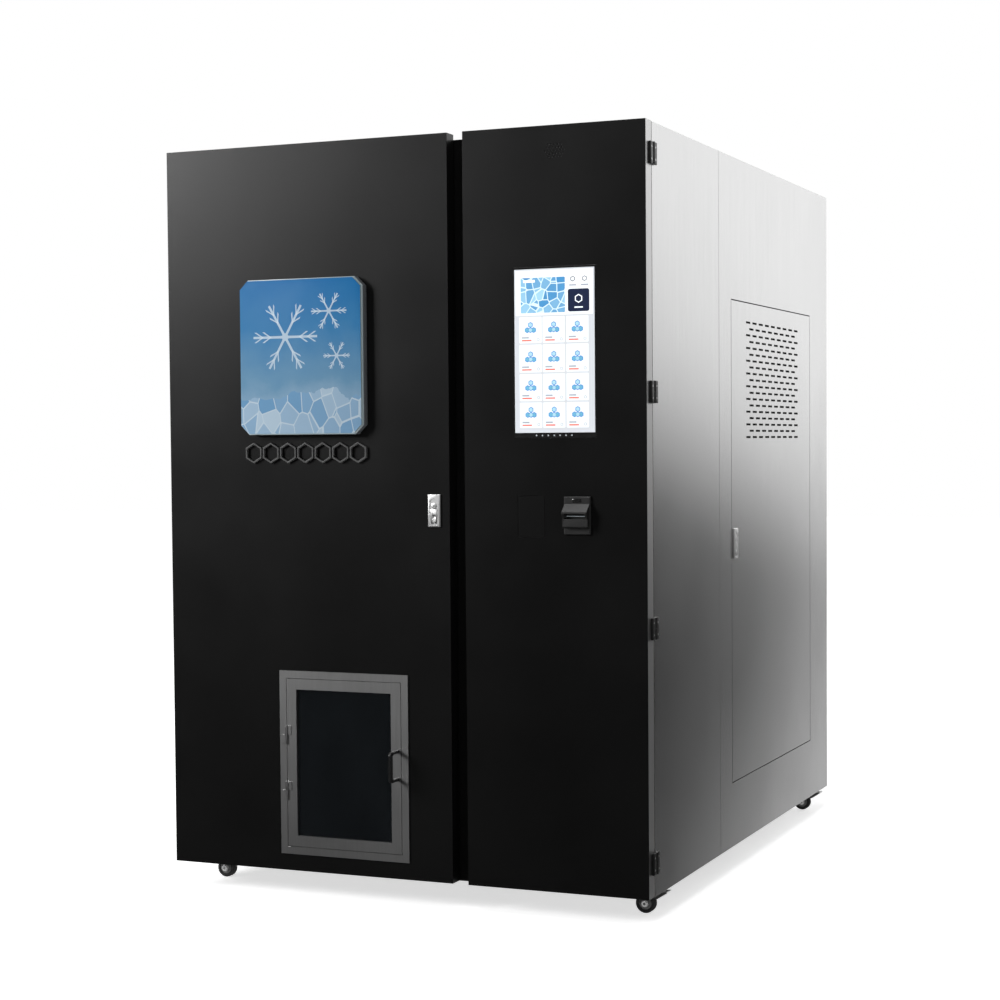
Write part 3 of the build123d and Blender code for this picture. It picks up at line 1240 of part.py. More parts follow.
def auger_motor():
    """Gearbox with a motor behind it, bolted to the hopper's back."""
    half = MOTOR_BOX / 2
    back = HOPPER_BACK + MOTOR_BOX_DEPTH
    gearbox = block(HOPPER_X - half, HOPPER_X + half, HOPPER_BACK, back, AUGER_Z - half, AUGER_Z + half)
    gearbox = chamfer(gearbox.edges().filter_by(Axis.Y), MOTOR_BOX_BEVEL)
    shaft = AUGER_SHAFT + RUNNING
    end = HOPPER_BACK + AUGER_SHAFT_IN_BOX + SEAT
    gearbox -= rod_y(HOPPER_X, AUGER_Z, shaft, HOPPER_BACK - 1, end, BODY_SIDES, bore=True)
    motor = gearbox + rod_y(HOPPER_X, AUGER_Z, MOTOR_RADIUS, back, back + MOTOR_LENGTH, BODY_SIDES)
    half = TERMINAL_WIDTH / 2
    y0 = back + (MOTOR_LENGTH - TERMINAL_LENGTH) / 2
    top = AUGER_Z + MOTOR_RADIUS + TERMINAL_RISE
    return motor + block(HOPPER_X - half, HOPPER_X + half, y0, y0 + TERMINAL_LENGTH, AUGER_Z, top)


def ice_maker():
    """Ice maker's casing on the hopper, open below, with the ribbed freezing plate inside."""
    x0, x1 = HOPPER_LEFT + MAKER_INSET, HOPPER_RIGHT - MAKER_INSET
    z0, z1 = HOPPER_TOP, HOPPER_TOP + MAKER_HEIGHT
    w = MAKER_WALL
    casing = block(x0, x1, HOPPER_FRONT, HOPPER_BACK, z0, z1)
    casing -= block(x0 + w, x1 - w, HOPPER_FRONT + w, HOPPER_BACK - w, z0 - 1, z1 - w)
    lid = MAKER_LID_INSET
    casing += block(x0 + lid, x1 - lid, HOPPER_FRONT - SHEET, HOPPER_FRONT, z0 + lid, z1 - lid)
    for left, right in ((HOPPER_LEFT, x0), (x1, HOPPER_RIGHT)):
        casing += block(left, right, HOPPER_FRONT, HOPPER_BACK, z0, z0 + SHEET)
    middle = (HOPPER_FRONT + HOPPER_BACK) / 2
    foot = z0 + MAKER_PLATE_FOOT
    casing += block(x0 + w, x1 - w, middle - w, middle + w, foot, z1 - w)
    for i in range(MAKER_RIBS):
        x = x0 + w + (x1 - x0 - 2 * w) * (i + 0.5) / MAKER_RIBS
        casing += block(x - SHEET, x + SHEET, middle - 2 * w, middle + 2 * w, foot, z1 - 2 * w)
    return casing


# Pick-up bay


def pick_up_bay():
    """Stainless box behind the pick-up door, with the hopper's drop chute on top and skids below."""
    x0, x1 = PICK_X - PICK_HALF - BAY_MARGIN, PICK_X + PICK_HALF + BAY_MARGIN
    y0, y1 = DOOR_DEPTH + BAY_FRONT_GAP, HOPPER_FRONT
    bay = block(x0 - SHEET, x1 + SHEET, y0, y1, BAY_FOOT, BAY_TOP)
    bay -= block(x0, x1, y0 - 1, y1 - SHEET, BAY_FOOT + SHEET, BAY_TOP - SHEET)
    half = CHUTE_WIDTH / 2
    left, right = HOPPER_X - half, HOPPER_X + half
    top = AUGER_Z + CHUTE_ABOVE_AUGER
    bay += block(left - SHEET, right + SHEET, CHUTE_FRONT - SHEET, y1, BAY_TOP - SHEET, top)
    bay -= block(left, right, CHUTE_FRONT, y1 - SHEET, BAY_TOP - SHEET - 1, top - SHEET)
    room = AUGER_RADIUS + AUGER_ROOM
    bay -= rod_y(HOPPER_X, AUGER_Z, room, y1 - SHEET - 1, y1 + 1, BODY_SIDES, bore=True)
    radius = GATE_PIVOT_RADIUS + RUNNING
    bay -= rod_x(GATE_Y, GATE_Z, radius, left - 2 * SHEET, right + 2 * SHEET, PIN_SIDES, bore=True)
    for skid in (x0 - SHEET, x1 + SHEET - SKID_WIDTH):
        bay += block(skid, skid + SKID_WIDTH, y0 + BEAM, y1 - BEAM, FLOOR_TOP, BAY_FOOT)
    return bay


def chute_gate():
    """Flap at the foot of the chute, on a shaft across the chute's back."""
    half = CHUTE_WIDTH / 2
    wide = half - GATE_GAP
    z0, z1 = GATE_Z - GATE_SHEET / 2, GATE_Z + GATE_SHEET / 2
    flap = block(HOPPER_X - wide, HOPPER_X + wide, CHUTE_FRONT + GATE_GAP, GATE_Y, z0, z1)
    left, right = HOPPER_X - half - SHEET, HOPPER_X + half + SHEET
    return flap + rod_x(GATE_Y, GATE_Z, GATE_PIVOT_RADIUS, left, right, PIN_SIDES)


# Cooling plant


def fan_strap(z):
    """A bent strap across the shroud's opening, which carries the fan motor."""
    reach = FAN_OPENING + 4 * SHEET
    z0, z1 = z - FAN_STRAP_WIDTH / 2, z + FAN_STRAP_WIDTH / 2
    strap = block(STRAP_X, SHROUD_X, COIL_Y - reach, COIL_Y + reach, z0, z1)
    inside = reach - FAN_STRAP
    return strap - block(STRAP_X + FAN_STRAP, SHROUD_X + 1, COIL_Y - inside, COIL_Y + inside, z0 - 1, z1 + 1)


def condenser():
    """Grooved coil block with its sheet shroud, the fan's opening and the strap-hung fan motor."""
    z0, z1 = COIL_Z - COIL_HEIGHT / 2, COIL_Z + COIL_HEIGHT / 2
    y0, y1 = COIL_Y - COIL_WIDTH / 2, COIL_Y + COIL_WIDTH / 2
    face = COIL_X + COIL_DEPTH
    plant = block(COIL_X, face, y0, y1, z0, z1)
    pitch = COIL_WIDTH / (COIL_GROOVES + 1)
    half = FIN_GROOVE / 2
    for i in range(COIL_GROOVES):
        y = y0 + pitch * (i + 1)
        plant -= block(face - FIN_GROOVE_DEPTH, face + 1, y - half, y + half, z0 - 1, z1 + 1)
    shroud = block(SHROUD_X, COIL_X, y0, y1, z0, z1)
    shroud -= block(SHROUD_X + SHEET, COIL_X + 1, y0 + SHEET, y1 - SHEET, z0 + SHEET, z1 - SHEET)
    through = (SHROUD_X - 1, SHROUD_X + SHEET + 1)
    plant += shroud - rod_x(COIL_Y, COIL_Z, FAN_OPENING, *through, BODY_SIDES, bore=True)
    for z in (COIL_Z - FAN_MOTOR_RADIUS / 2, COIL_Z + FAN_MOTOR_RADIUS / 2):
        plant += fan_strap(z)
    front = STRAP_X + FAN_STRAP
    plant += rod_x(COIL_Y, COIL_Z, FAN_MOTOR_RADIUS, STRAP_X - FAN_MOTOR_LENGTH, front, BODY_SIDES)
    middle = STRAP_X - FAN_MOTOR_LENGTH / 2
    return plant - rod_x(COIL_Y, COIL_Z, FAN_SHAFT + RUNNING, middle, front + 1, PIN_SIDES, bore=True)


def condenser_fan():
    """Axial fan: hub, shaft and five pitched blades."""
    start = STRAP_X + FAN_STRAP + SHEET
    fan = rod_x(0, 0, FAN_HUB, start, start + FAN_DEPTH, BODY_SIDES)
    fan += rod_x(0, 0, FAN_SHAFT, STRAP_X - FAN_MOTOR_LENGTH / 2 + SHEET, start + SHEET, PIN_SIDES)
    root, tip = FAN_BLADE_ROOT / 2, FAN_BLADE_CHORD / 2
    foot = FAN_HUB - 3 * SHEET
    top = math.sqrt(FAN_RADIUS**2 - tip**2)
    outline = [(-root, foot), (root, foot), (tip, top), (-tip, top)]
    blade = Rot(0, 0, FAN_BLADE_TILT) * prism_x(outline, -FAN_BLADE_THICK / 2, FAN_BLADE_THICK / 2)
    for i in range(FAN_BLADES):
        fan += Pos(start + FAN_DEPTH / 2, 0, 0) * Rot(360 / FAN_BLADES * i, 0, 0) * blade
    return Pos(0, COIL_Y, COIL_Z) * fan


def compressor():
    """Hermetic compressor with a sloping crown, on a footed plate."""
    x, y = (PARTITION_RIGHT + SHELF_RIGHT) / 2, CABINET_DEPTH - COMPRESSOR_BACK
    plate_z = FLOOR_TOP + COMPRESSOR_FOOT
    half = COMPRESSOR_BASE / 2
    body = block(x - half, x + half, y - half, y + half, plate_z, plate_z + 2 * SHEET)
    foot = COMPRESSOR_FOOT
    for sx in (-1, 1):
        for sy in (-1, 1):
            cx, cy = x + sx * (half - foot), y + sy * (half - foot)
            body += block(cx - foot, cx + foot, cy - foot, cy + foot, FLOOR_TOP, plate_z)
    shell = rod_z(x, y, COMPRESSOR_RADIUS, plate_z, plate_z + COMPRESSOR_HEIGHT, BODY_SIDES)
    return body + chamfer(shell.edges().group_by(Axis.Z)[-1], COMPRESSOR_CROWN)


def control_box():
    """Steel control cabinet on the partition, with a stepped lid."""
    x1 = PARTITION_RIGHT + CONTROL_WIDTH
    y0, y1 = CONTROL_FRONT, CONTROL_FRONT + CONTROL_LENGTH
    z0, z1 = CONTROL_FOOT, CONTROL_FOOT + CONTROL_HEIGHT
    box = block(PARTITION_RIGHT, x1, y0, y1, z0, z1)
    step = CONTROL_LID_INSET
    return box + block(x1, x1 + CONTROL_LID, y0 + step, y1 - step, z0 + step, z1 - step)


# Fittings on the back


def bulkhead(x, radius, bore, sides, bore_sides):
    """A hollow fitting through the back sheet: stub, hexagon flange outside and nut inside."""
    y0, y1 = CABINET_DEPTH - SHEET, CABINET_DEPTH
    body = rod_y(x, FITTING_Z, radius, y0 - FITTING_NUT, y1 + REAR_REACH, sides)
    nut = hexagon(x, FITTING_Z, radius + FITTING_NUT_RIM)
    body += prism_y(nut, y1, y1 + FITTING_NUT)
    body += prism_y(nut, y0 - FITTING_NUT, y0)
    return body - rod_y(x, FITTING_Z, bore, y0 - FITTING_NUT - 1, y1 + REAR_REACH + 1, bore_sides, bore=True)


def rear_fittings():
    """Water inlet, drain and the gland that the supply cable goes through."""
    inlet, drain, gland = FITTING_XS
    return Compound(
        children=[
            bulkhead(inlet, INLET_RADIUS, INLET_RADIUS - FITTING_WALL, 0, PIN_SIDES),
            bulkhead(drain, DRAIN_RADIUS, DRAIN_RADIUS - FITTING_WALL, 0, PIN_SIDES),
            bulkhead(gland, GLAND_RADIUS, GLAND_BORE, BODY_SIDES, 0),
        ]
    )


PARTS = [
    base_frame,
    floor_pan,
    front_frame,
    left_side_panel,
    right_front_side_panel,
    right_rear_side_panel,
    rear_panel,
    roof_panel,
    bay_partition,
    machine_shelf,
    cabinet_hinge_leaves,
    left_door_hinge_leaves,
    right_door_hinge_leaves,
    left_door_skin,
    left_door_back,
    picture_box,
    picture_face,
    ring_row,
    pick_up_frame,
    pick_up_door_frame,
    pick_up_glass,
    pick_up_handle,
    left_lock_frame,
    left_lock_paddle,
    left_key_plug,
    right_door_skin,
    right_door_back,
    right_door_bolt,
    touch_screen,
    blank_plate,
    card_reader,
    speaker,
    side_door_skin,
    side_lock_frame,
    side_lock_paddle,
    side_key_plug,
    caster_plates,
    ice_hopper,
    hopper_auger,
    auger_motor,
    ice_maker,
    pick_up_bay,
    chute_gate,
    condenser,
    condenser_fan,
    compressor,
    control_box,
    rear_fittings,
]


def main():
    """Build every piece, shift it to the machine's origin and write it."""
    os.makedirs("parts", exist_ok=True)
    to_origin = Pos(0, -ORIGIN_DEPTH, 0)
    for make in PARTS:
        export_step(to_origin * make(), f"parts/{make.__name__}.step")
    caster = {"fork": caster_fork(), "wheel": caster_wheel(), "pedal": caster_pedal()}
    for corner, (x, y, turn) in CASTERS.items():
        place = to_origin * Pos(x, y, 0) * Rot(0, 0, turn)
        for piece, shape in caster.items():
            export_step(place * shape, f"parts/caster_{piece}_{corner}.step")


main()
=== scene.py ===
import math

import bpy
from mathutils import Matrix, Vector


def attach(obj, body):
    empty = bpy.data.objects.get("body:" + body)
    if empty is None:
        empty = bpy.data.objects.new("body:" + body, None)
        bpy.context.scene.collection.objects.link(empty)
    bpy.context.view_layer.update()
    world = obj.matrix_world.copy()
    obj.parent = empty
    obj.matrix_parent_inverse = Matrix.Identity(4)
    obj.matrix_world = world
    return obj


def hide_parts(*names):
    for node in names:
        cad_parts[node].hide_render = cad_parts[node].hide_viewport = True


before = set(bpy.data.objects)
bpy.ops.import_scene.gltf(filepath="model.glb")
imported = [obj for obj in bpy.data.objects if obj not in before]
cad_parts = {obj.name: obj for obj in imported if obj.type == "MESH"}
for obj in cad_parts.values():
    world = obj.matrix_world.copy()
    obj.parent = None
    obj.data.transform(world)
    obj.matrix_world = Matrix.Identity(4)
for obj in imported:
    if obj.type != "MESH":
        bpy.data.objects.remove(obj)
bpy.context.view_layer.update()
bpy.ops.object.select_all(action="DESELECT")

# The camera stands to the right of the machine, 1.4 m above the floor, and looks a little down.
# Its place, lens and slight tilt come from matching the corners of the doors and side panels.
CAMERA_PLACE = Vector((2.6732, -6.5476, 1.3983))
CAMERA_YAW = math.radians(-22.995)
CAMERA_PITCH = math.radians(-2.295)
CAMERA_ROLL = math.radians(-0.452)
CAMERA_LENS = 73.49
CAMERA_RISE = 0.0244

ahead = Vector((
    math.sin(CAMERA_YAW) * math.cos(CAMERA_PITCH),
    math.cos(CAMERA_YAW) * math.cos(CAMERA_PITCH),
    math.sin(CAMERA_PITCH),
))
level = Vector((math.cos(CAMERA_YAW), -math.sin(CAMERA_YAW), 0))
upright = level.cross(ahead)
across = level * math.cos(CAMERA_ROLL) + upright * math.sin(CAMERA_ROLL)
up = upright * math.cos(CAMERA_ROLL) - level * math.sin(CAMERA_ROLL)
camera = bpy.data.objects.new("camera", bpy.data.cameras.new("camera"))
camera.data.lens = CAMERA_LENS
camera.data.sensor_width = 36
camera.data.shift_y = CAMERA_RISE
camera.matrix_world = Matrix.Translation(CAMERA_PLACE) @ Matrix((across, up, -ahead)).transposed().to_4x4()
bpy.context.scene.collection.objects.link(camera)
bpy.context.scene.camera = camera


# The base is welded square tube with a black stove coat, and a mill-finish sheet floor lies on it.
# The coat is slightly wavy, with cloudy wear and pale specks.
class Reading:
    """A number that varies over a surface, so that sums of such numbers are plain expressions."""

    def __init__(self, tree, socket):
        self.tree = tree
        self.socket = socket

    def sum(self, operation, first, second):
        node = self.tree.nodes.new("ShaderNodeMath")
        node.operation = operation
        for socket, value in zip(node.inputs, (first, second)):
            if isinstance(value, Reading):
                self.tree.links.new(value.socket, socket)
            else:
                socket.default_value = value
        return Reading(self.tree, node.outputs[0])

    def __add__(self, other):
        return self.sum("ADD", self, other)

    def __sub__(self, other):
        return self.sum("SUBTRACT", self, other)

    def __rsub__(self, other):
        return self.sum("SUBTRACT", other, self)

    def __mul__(self, other):
        return self.sum("MULTIPLY", self, other)

    def __truediv__(self, other):
        return self.sum("DIVIDE", self, other)

    def __abs__(self):
        return self.sum("ABSOLUTE", self, 0.0)

    def __gt__(self, other):
        return self.sum("GREATER_THAN", self, other)

    def __lt__(self, other):
        return self.sum("LESS_THAN", self, other)


class Finish:
    """One material, with its surface shader and a way to add nodes."""

    def __init__(self, name):
        self.material = bpy.data.materials.new(name)
        self.material.use_nodes = True
        self.tree = self.material.node_tree
        self.surface = self.tree.nodes["Principled BSDF"]

    def feed(self, socket, value):
        if isinstance(value, Reading):
            self.tree.links.new(value.socket, socket)
        else:
            socket.default_value = value

    def node(self, kind, settings, sockets, result=0):
        made = self.tree.nodes.new(kind)
        for key, value in settings.items():
            if key == "stops":
                elements = made.color_ramp.elements
                while len(elements) < len(value):
                    elements.new(1.0)
                for element, (place, colour) in zip(elements, value):
                    element.position = place
                    element.color = colour
            else:
                setattr(made, key, value)
        for key, value in sockets.items():
            self.feed(made.inputs[key], value)
        return Reading(self.tree, made.outputs[result])

    def place(self, scale=(1, 1, 1), shift=(0, 0, 0)):
        spot = self.node("ShaderNodeTexCoord", {}, {}, "Object")
        return self.node("ShaderNodeMapping", {}, {"Vector": spot, "Scale": scale, "Location": shift})

    def axes(self):
        spot = self.node("ShaderNodeTexCoord", {}, {}, "Object")
        return [self.node("ShaderNodeSeparateXYZ", {}, {"Vector": spot}, axis) for axis in "XYZ"]

    def noise(self, size, stretch=(1, 1, 1), detail=3.0):
        sockets = {"Vector": self.place(stretch), "Scale": 1 / size, "Detail": detail}
        return self.node("ShaderNodeTexNoise", {}, sockets)

    def mix(self, share, first, second):
        return self.node("ShaderNodeMix", {"data_type": "RGBA"}, {0: share, 6: first, 7: second}, 2)

    def bump(self, height, depth):
        return self.node("ShaderNodeBump", {}, {"Height": height, "Distance": depth, "Strength": 1.0})

    def done(self, **values):
        for key, value in values.items():
            name = key.replace("_", " ").title().replace("Ior", "IOR")
            self.feed(self.surface.inputs[name], value)
        return self.material


def shade(grey, tint=(1, 1, 1)):
    """A grey with a slight tint, as a colour."""
    return (grey * tint[0], grey * tint[1], grey * tint[2], 1.0)


def coated(name, colour, worn, rough, gloss=0.5):
    """Sprayed and baked coat: fine orange peel, broad cloudy wear and a little dust."""
    coat = Finish(name)
    cloud = coat.noise(0.35, detail=4.0)
    speck = coat.noise(0.004)
    peel = coat.noise(0.0022, detail=1.0)
    return coat.done(
        base_color=coat.mix(cloud * 0.6 + speck * 0.2, colour, worn),
        roughness=cloud * 0.12 + speck * 0.06 + (rough - 0.09),
        specular_ior_level=gloss,
        normal=coat.bump(peel, 0.00006),
    )


def dress(material, *nodes):
    """Give CAD nodes a material."""
    for name in nodes:
        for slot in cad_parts[name].material_slots:
            slot.material = material


def soften(width, *nodes):
    """Round the sharp edges of CAD nodes a little, as folded or moulded edges are."""
    for name in nodes:
        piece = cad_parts[name]
        weld = piece.modifiers.new("weld", "WELD")
        weld.merge_threshold = 0.00001
        edge = piece.modifiers.new("edge", "BEVEL")
        edge.width = width
        edge.segments = 2
        edge.limit_method = "ANGLE"
        edge.angle_limit = math.radians(35)
        edge.harden_normals = True


def milled(name, colour, rough):
    """Mill-finish sheet: faint rolling streaks along Y and a dull cloud."""
    sheet = Finish(name)
    streak = sheet.noise(0.006, (1, 0.03, 1))
    cloud = sheet.noise(0.2)
    return sheet.done(
        base_color=sheet.mix(streak * 0.5 + cloud * 0.3, colour, shade(0.42)),
        metallic=1.0,
        roughness=streak * 0.12 + cloud * 0.1 + (rough - 0.1),
        normal=sheet.bump(streak, 0.00005),
    )


black_base = coated("base_black", shade(0.018), shade(0.045), 0.5)
mill_sheet = milled("mill_sheet", shade(0.6, (1, 1, 1.02)), 0.42)
dress(black_base, "base_frame")
dress(mill_sheet, "floor_pan")
soften(0.002, "base_frame")
soften(0.0005, "floor_pan")

# The front frame is folded sheet with the doors' black satin coat, and the tall doors close on it.
# The coat is the finish of the whole front, so it is made here and used again on the doors.
SATIN_ROUGH = 0.32
SATIN_GLOSS = 0.22

black_satin = coated("black_satin", shade(0.0015), shade(0.0035), SATIN_ROUGH, SATIN_GLOSS)
dress(black_satin, "front_frame")
soften(0.0006, "front_frame")


# The sides are stainless sheet, brushed upright, with folded top and joint edges.
# Long fine strokes and a soft cloud of handling marks show on it, and its inner faces are black.
OUTER_FACE = 0.7893
UPRIGHT = (1, 1, 0.012)


def brushed(name, colour, dark, rough, stretch, stroke=0.0012, coated_inside=False, grain=0.00003):
    """Brushed sheet; stretch is small along the strokes. A side sheet's inner faces are black."""
    sheet = Finish(name)
    strokes = sheet.noise(stroke, stretch, 4.0)
    broad = sheet.noise(stroke * 12, stretch, 2.0)
    cloud = sheet.noise(0.45, detail=2.0)
    tone = sheet.mix(strokes * 0.45 + broad * 0.35, colour, dark)
    if coated_inside:
        inside = abs(sheet.axes()[0]) < OUTER_FACE
        tone = sheet.mix(inside, tone, shade(0.02))
    return sheet.done(
        base_color=tone,
        metallic=1.0,
        roughness=strokes * 0.14 + cloud * 0.1 + (rough - 0.12),
        normal=sheet.bump(strokes, grain),
    )


side_sheet = brushed(
    "side_sheet", shade(0.5), shade(0.4), 0.2, UPRIGHT, coated_inside=True, grain=0.00001
)
dress(side_sheet, "left_side_panel", "right_front_side_panel", "right_rear_side_panel")
soften(0.0007, "left_side_panel", "right_front_side_panel", "right_rear_side_panel")

# The back is the same sheet, pierced for vents, and the sunk roof is left mill-finish.
# The fittings on the back are machined brass stubs with a hexagon on each side of the sheet.
back_sheet = brushed("back_sheet", shade(0.66), shade(0.46), 0.4, UPRIGHT)
dress(back_sheet, "rear_panel")
dress(mill_sheet, "roof_panel")
soften(0.0006, "roof_panel")
brass = brushed("brass", (0.78, 0.6, 0.28, 1), (0.6, 0.42, 0.18, 1), 0.3, (0.2, 1, 0.2))

FITTING_PLACES = ((0.317, 0.0105, 0.0075), (0.437, 0.016, 0.013), (0.557, 0.012, 0.0065))
FITTING_LEVEL = 0.26
BACK_FACE = 1.0655
BACK_SHEET = 0.002
STUB_END = 1.1005
STUB_EDGE = 0.0012
NUT_DEPTH = 0.006
NUT_RIM = 0.008
NUT_EDGE = 0.0008
RIDGE_COUNT = 4
RIDGE_PITCH = 0.004
RIDGE_DEPTH = 0.0006


def activate(piece):
    """Make a piece the only selected and active object."""
    bpy.ops.object.select_all(action="DESELECT")
    piece.select_set(True)
    bpy.context.view_layer.objects.active = piece


def settle(piece):
    """Put a piece's place, turn and size into its mesh."""
    activate(piece)
    bpy.ops.object.transform_apply(location=True, rotation=True, scale=True)
    return piece


def brick(low, high):
    """A block between two corners."""
    low, high = Vector(low), Vector(high)
    bpy.ops.object.select_all(action="DESELECT")
    bpy.ops.mesh.primitive_cube_add(size=1, location=(low + high) / 2)
    bpy.context.object.scale = high - low
    return settle(bpy.context.object)


def bar(centre, radius, start, end, axis="Y", sides=48):
    """A round bar along an axis; centre gives the other two places in X, Y, Z order."""
    turns = {"X": (0, math.pi / 2, 0), "Y": (math.pi / 2, 0, 0), "Z": (0, 0, 0)}
    middle = list(centre)
    middle.insert("XYZ".index(axis), (start + end) / 2)
    bpy.ops.object.select_all(action="DESELECT")
    bpy.ops.mesh.primitive_cylinder_add(
        vertices=sides, radius=radius, depth=abs(end - start), location=middle, rotation=turns[axis]
    )
    return settle(bpy.context.object)


def rounded(piece, width, steps=3):
    """Round a piece's sharp edges."""
    activate(piece)
    edge = piece.modifiers.new("edge", "BEVEL")
    edge.width = width
    edge.segments = steps
    edge.limit_method = "ANGLE"
    edge.angle_limit = math.radians(35)
    bpy.ops.object.modifier_apply(modifier=edge.name)
    return piece


def cut(piece, *tools):
    """Cut tools out of a piece."""
    for tool in tools:
        activate(piece)
        step = piece.modifiers.new("cut", "BOOLEAN")
        step.operation = "DIFFERENCE"
        step.object = tool
        bpy.ops.object.modifier_apply(modifier=step.name)
        bpy.data.objects.remove(tool, do_unlink=True)
    return piece


def joined(name, material, pieces):
    """Join pieces into one of that name and material, with round parts shaded smooth."""
    for piece in pieces:
        if not piece.data.materials:
            piece.data.materials.append(material)
    bpy.ops.object.select_all(action="DESELECT")
    for piece in pieces:
        piece.select_set(True)
    bpy.context.view_layer.objects.active = pieces[0]
    if len(pieces) > 1:
        bpy.ops.object.join()
    made = bpy.context.object
    made.name = name
    made.data.name = name
    bpy.ops.object.shade_smooth_by_angle(angle=math.radians(32))
    bpy.ops.object.select_all(action="DESELECT")
    return made


fittings = []
for x, radius, bore in FITTING_PLACES:
    spot = (x, FITTING_LEVEL)
    stub = rounded(bar(spot, radius, BACK_FACE - NUT_DEPTH, STUB_END), STUB_EDGE)
    inner_face = BACK_FACE - BACK_SHEET
    nuts = [
        rounded(bar(spot, radius + NUT_RIM, start, end, sides=6), NUT_EDGE)
        for start, end in ((BACK_FACE, BACK_FACE + NUT_DEPTH), (inner_face - NUT_DEPTH, inner_face))
    ]
    grooves = []
    for i in range(RIDGE_COUNT):
        start = STUB_END - RIDGE_PITCH - i * RIDGE_PITCH
        groove = bar(spot, radius + 0.001, start - 0.001, start)
        grooves.append(cut(groove, bar(spot, radius - RIDGE_DEPTH, start - 0.002, start + 0.001)))
    through = (BACK_FACE - 0.02, STUB_END + 0.01)
    body = cut(stub, *grooves, bar(spot, bore, *through))
    nuts = [cut(nut, bar(spot, bore, *through)) for nut in nuts]
    fittings += [body] + nuts
piece = joined("rear_stubs", brass, fittings)
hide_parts("rear_fittings")
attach(piece, "cabinet")

# The partition and the folded shelf carry the plant and are plain mill-finish sheet.
# They show only with a door open.
dress(mill_sheet, "bay_partition", "machine_shelf")
soften(0.0006, "machine_shelf")

# Each tall door hangs on four black surface hinges: two thick bevelled leaves and a bright pin.
# A leaf has two countersunk screws, and its knuckle is drawn round here.
HINGE_AXIS = (0.7955, -0.983)
HINGE_MIDDLES = (0.18, 0.86, 1.54, 2.22)
HINGE_HALF = 0.032
LEAF_INNER = 0.79
LEAF_OUTER = 0.798
LEAF_NEAR = 0.006
LEAF_WIDE = 0.022
LEAF_EDGE = 0.0025
KNUCKLE = 0.005
KNUCKLE_GAP = 0.00015
PIN = 0.0025
SCREW_SPREAD = 0.55
SCREW_SEAT = 0.0038
SCREW_HEAD = 0.0034
SCREW_SLOT = (0.0028, 0.0004)

hinge_black = coated("hinge_black", shade(0.004), shade(0.012), 0.3, 0.3)
bright_pin = brushed("bright_pin", shade(0.92), shade(0.75), 0.4, (1, 1, 0.1))


def hinge_half(side, towards, middle):
    """One half of a hinge: leaf, web, knuckle and screws, and the pin on the fixed half."""
    near = HINGE_AXIS[1] + towards * LEAF_NEAR
    far = near + towards * LEAF_WIDE
    outer, inner = side * LEAF_OUTER, side * LEAF_INNER
    low, high = sorted((outer, inner))
    first, last = sorted((near, far))
    leaf = brick((low, first, middle - HINGE_HALF), (high, last, middle + HINGE_HALF))
    rounded(leaf, LEAF_EDGE, 2)
    screws = []
    for way in (-1, 1):
        spot = ((near + far) / 2, middle + way * HINGE_HALF * SCREW_SPREAD)
        leaf = cut(leaf, bar(spot, SCREW_SEAT, outer - side * 0.0012, outer + side * 0.001, "X"))
        screw = bar(spot, SCREW_HEAD, outer - side * 0.0016, outer - side * 0.0006, "X", 24)
        slot_low, slot_high = sorted((outer - side * 0.001, outer))
        slot = brick(
            (slot_low, spot[0] - SCREW_SLOT[0], spot[1] - SCREW_SLOT[1]),
            (slot_high, spot[0] + SCREW_SLOT[0], spot[1] + SCREW_SLOT[1]),
        )
        screws.append(cut(screw, slot))
    span = (middle + KNUCKLE_GAP, middle + HINGE_HALF)
    if towards > 0:
        span = (middle - HINGE_HALF, middle - KNUCKLE_GAP)
    axis = (side * HINGE_AXIS[0], HINGE_AXIS[1])
    knuckle = rounded(bar(axis, KNUCKLE, *span, "Z"), 0.0006, 2)
    low, high = sorted((side * 0.7902, axis[0] + side * 0.002))
    first, last = sorted((axis[1] + towards * 0.003, near + towards * 0.001))
    web = brick((low, first, span[0] + 0.001), (high, last, span[1] - 0.001))
    made = [leaf, knuckle, web]
    for screw in screws:
        screw.data.materials.append(bright_pin)
    if towards > 0:
        pin = bar(axis, PIN, middle - HINGE_HALF - 0.0012, middle + HINGE_HALF + 0.0015, "Z", 32)
        pin = rounded(pin, 0.0008, 2)
        pin.data.materials.append(bright_pin)
        screws.append(pin)
    else:
        bore = bar(axis, PIN + 0.00005, middle - 0.01, middle + HINGE_HALF + 0.01, "Z", 32)
        made[1] = cut(knuckle, bore)
    return made + screws


for node, body, halves in (
    ("cabinet_hinge_leaves", "cabinet", ((-1, 1), (1, 1))),
    ("left_door_hinge_leaves", "left_door", ((-1, -1),)),
    ("right_door_hinge_leaves", "right_door", ((1, -1),)),
):
    parts = [p for half in halves for middle in HINGE_MIDDLES for p in hinge_half(*half, middle)]
    piece = joined(node + "_round", hinge_black, parts)
    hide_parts(node)
    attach(piece, body)


# The hopper and the ice maker's casing are white moulded plastic over foam, and a paddle screw of
# brushed steel lies in the hopper. They show only with the left door open.
def moulded(name, colour, rough, grain=0.0012, depth=0.00004):
    """Moulded plastic: a fine spark texture and a soft variation of gloss."""
    plastic = Finish(name)
    texture = plastic.noise(grain, detail=1.0)
    cloud = plastic.noise(0.08)
    darker = tuple(c * 0.8 for c in colour[:3]) + (1.0,)
    return plastic.done(
        base_color=plastic.mix(cloud * 0.5 + texture * 0.2, colour, darker),
        roughness=cloud * 0.14 + (rough - 0.07),
        normal=plastic.bump(texture, depth),
    )


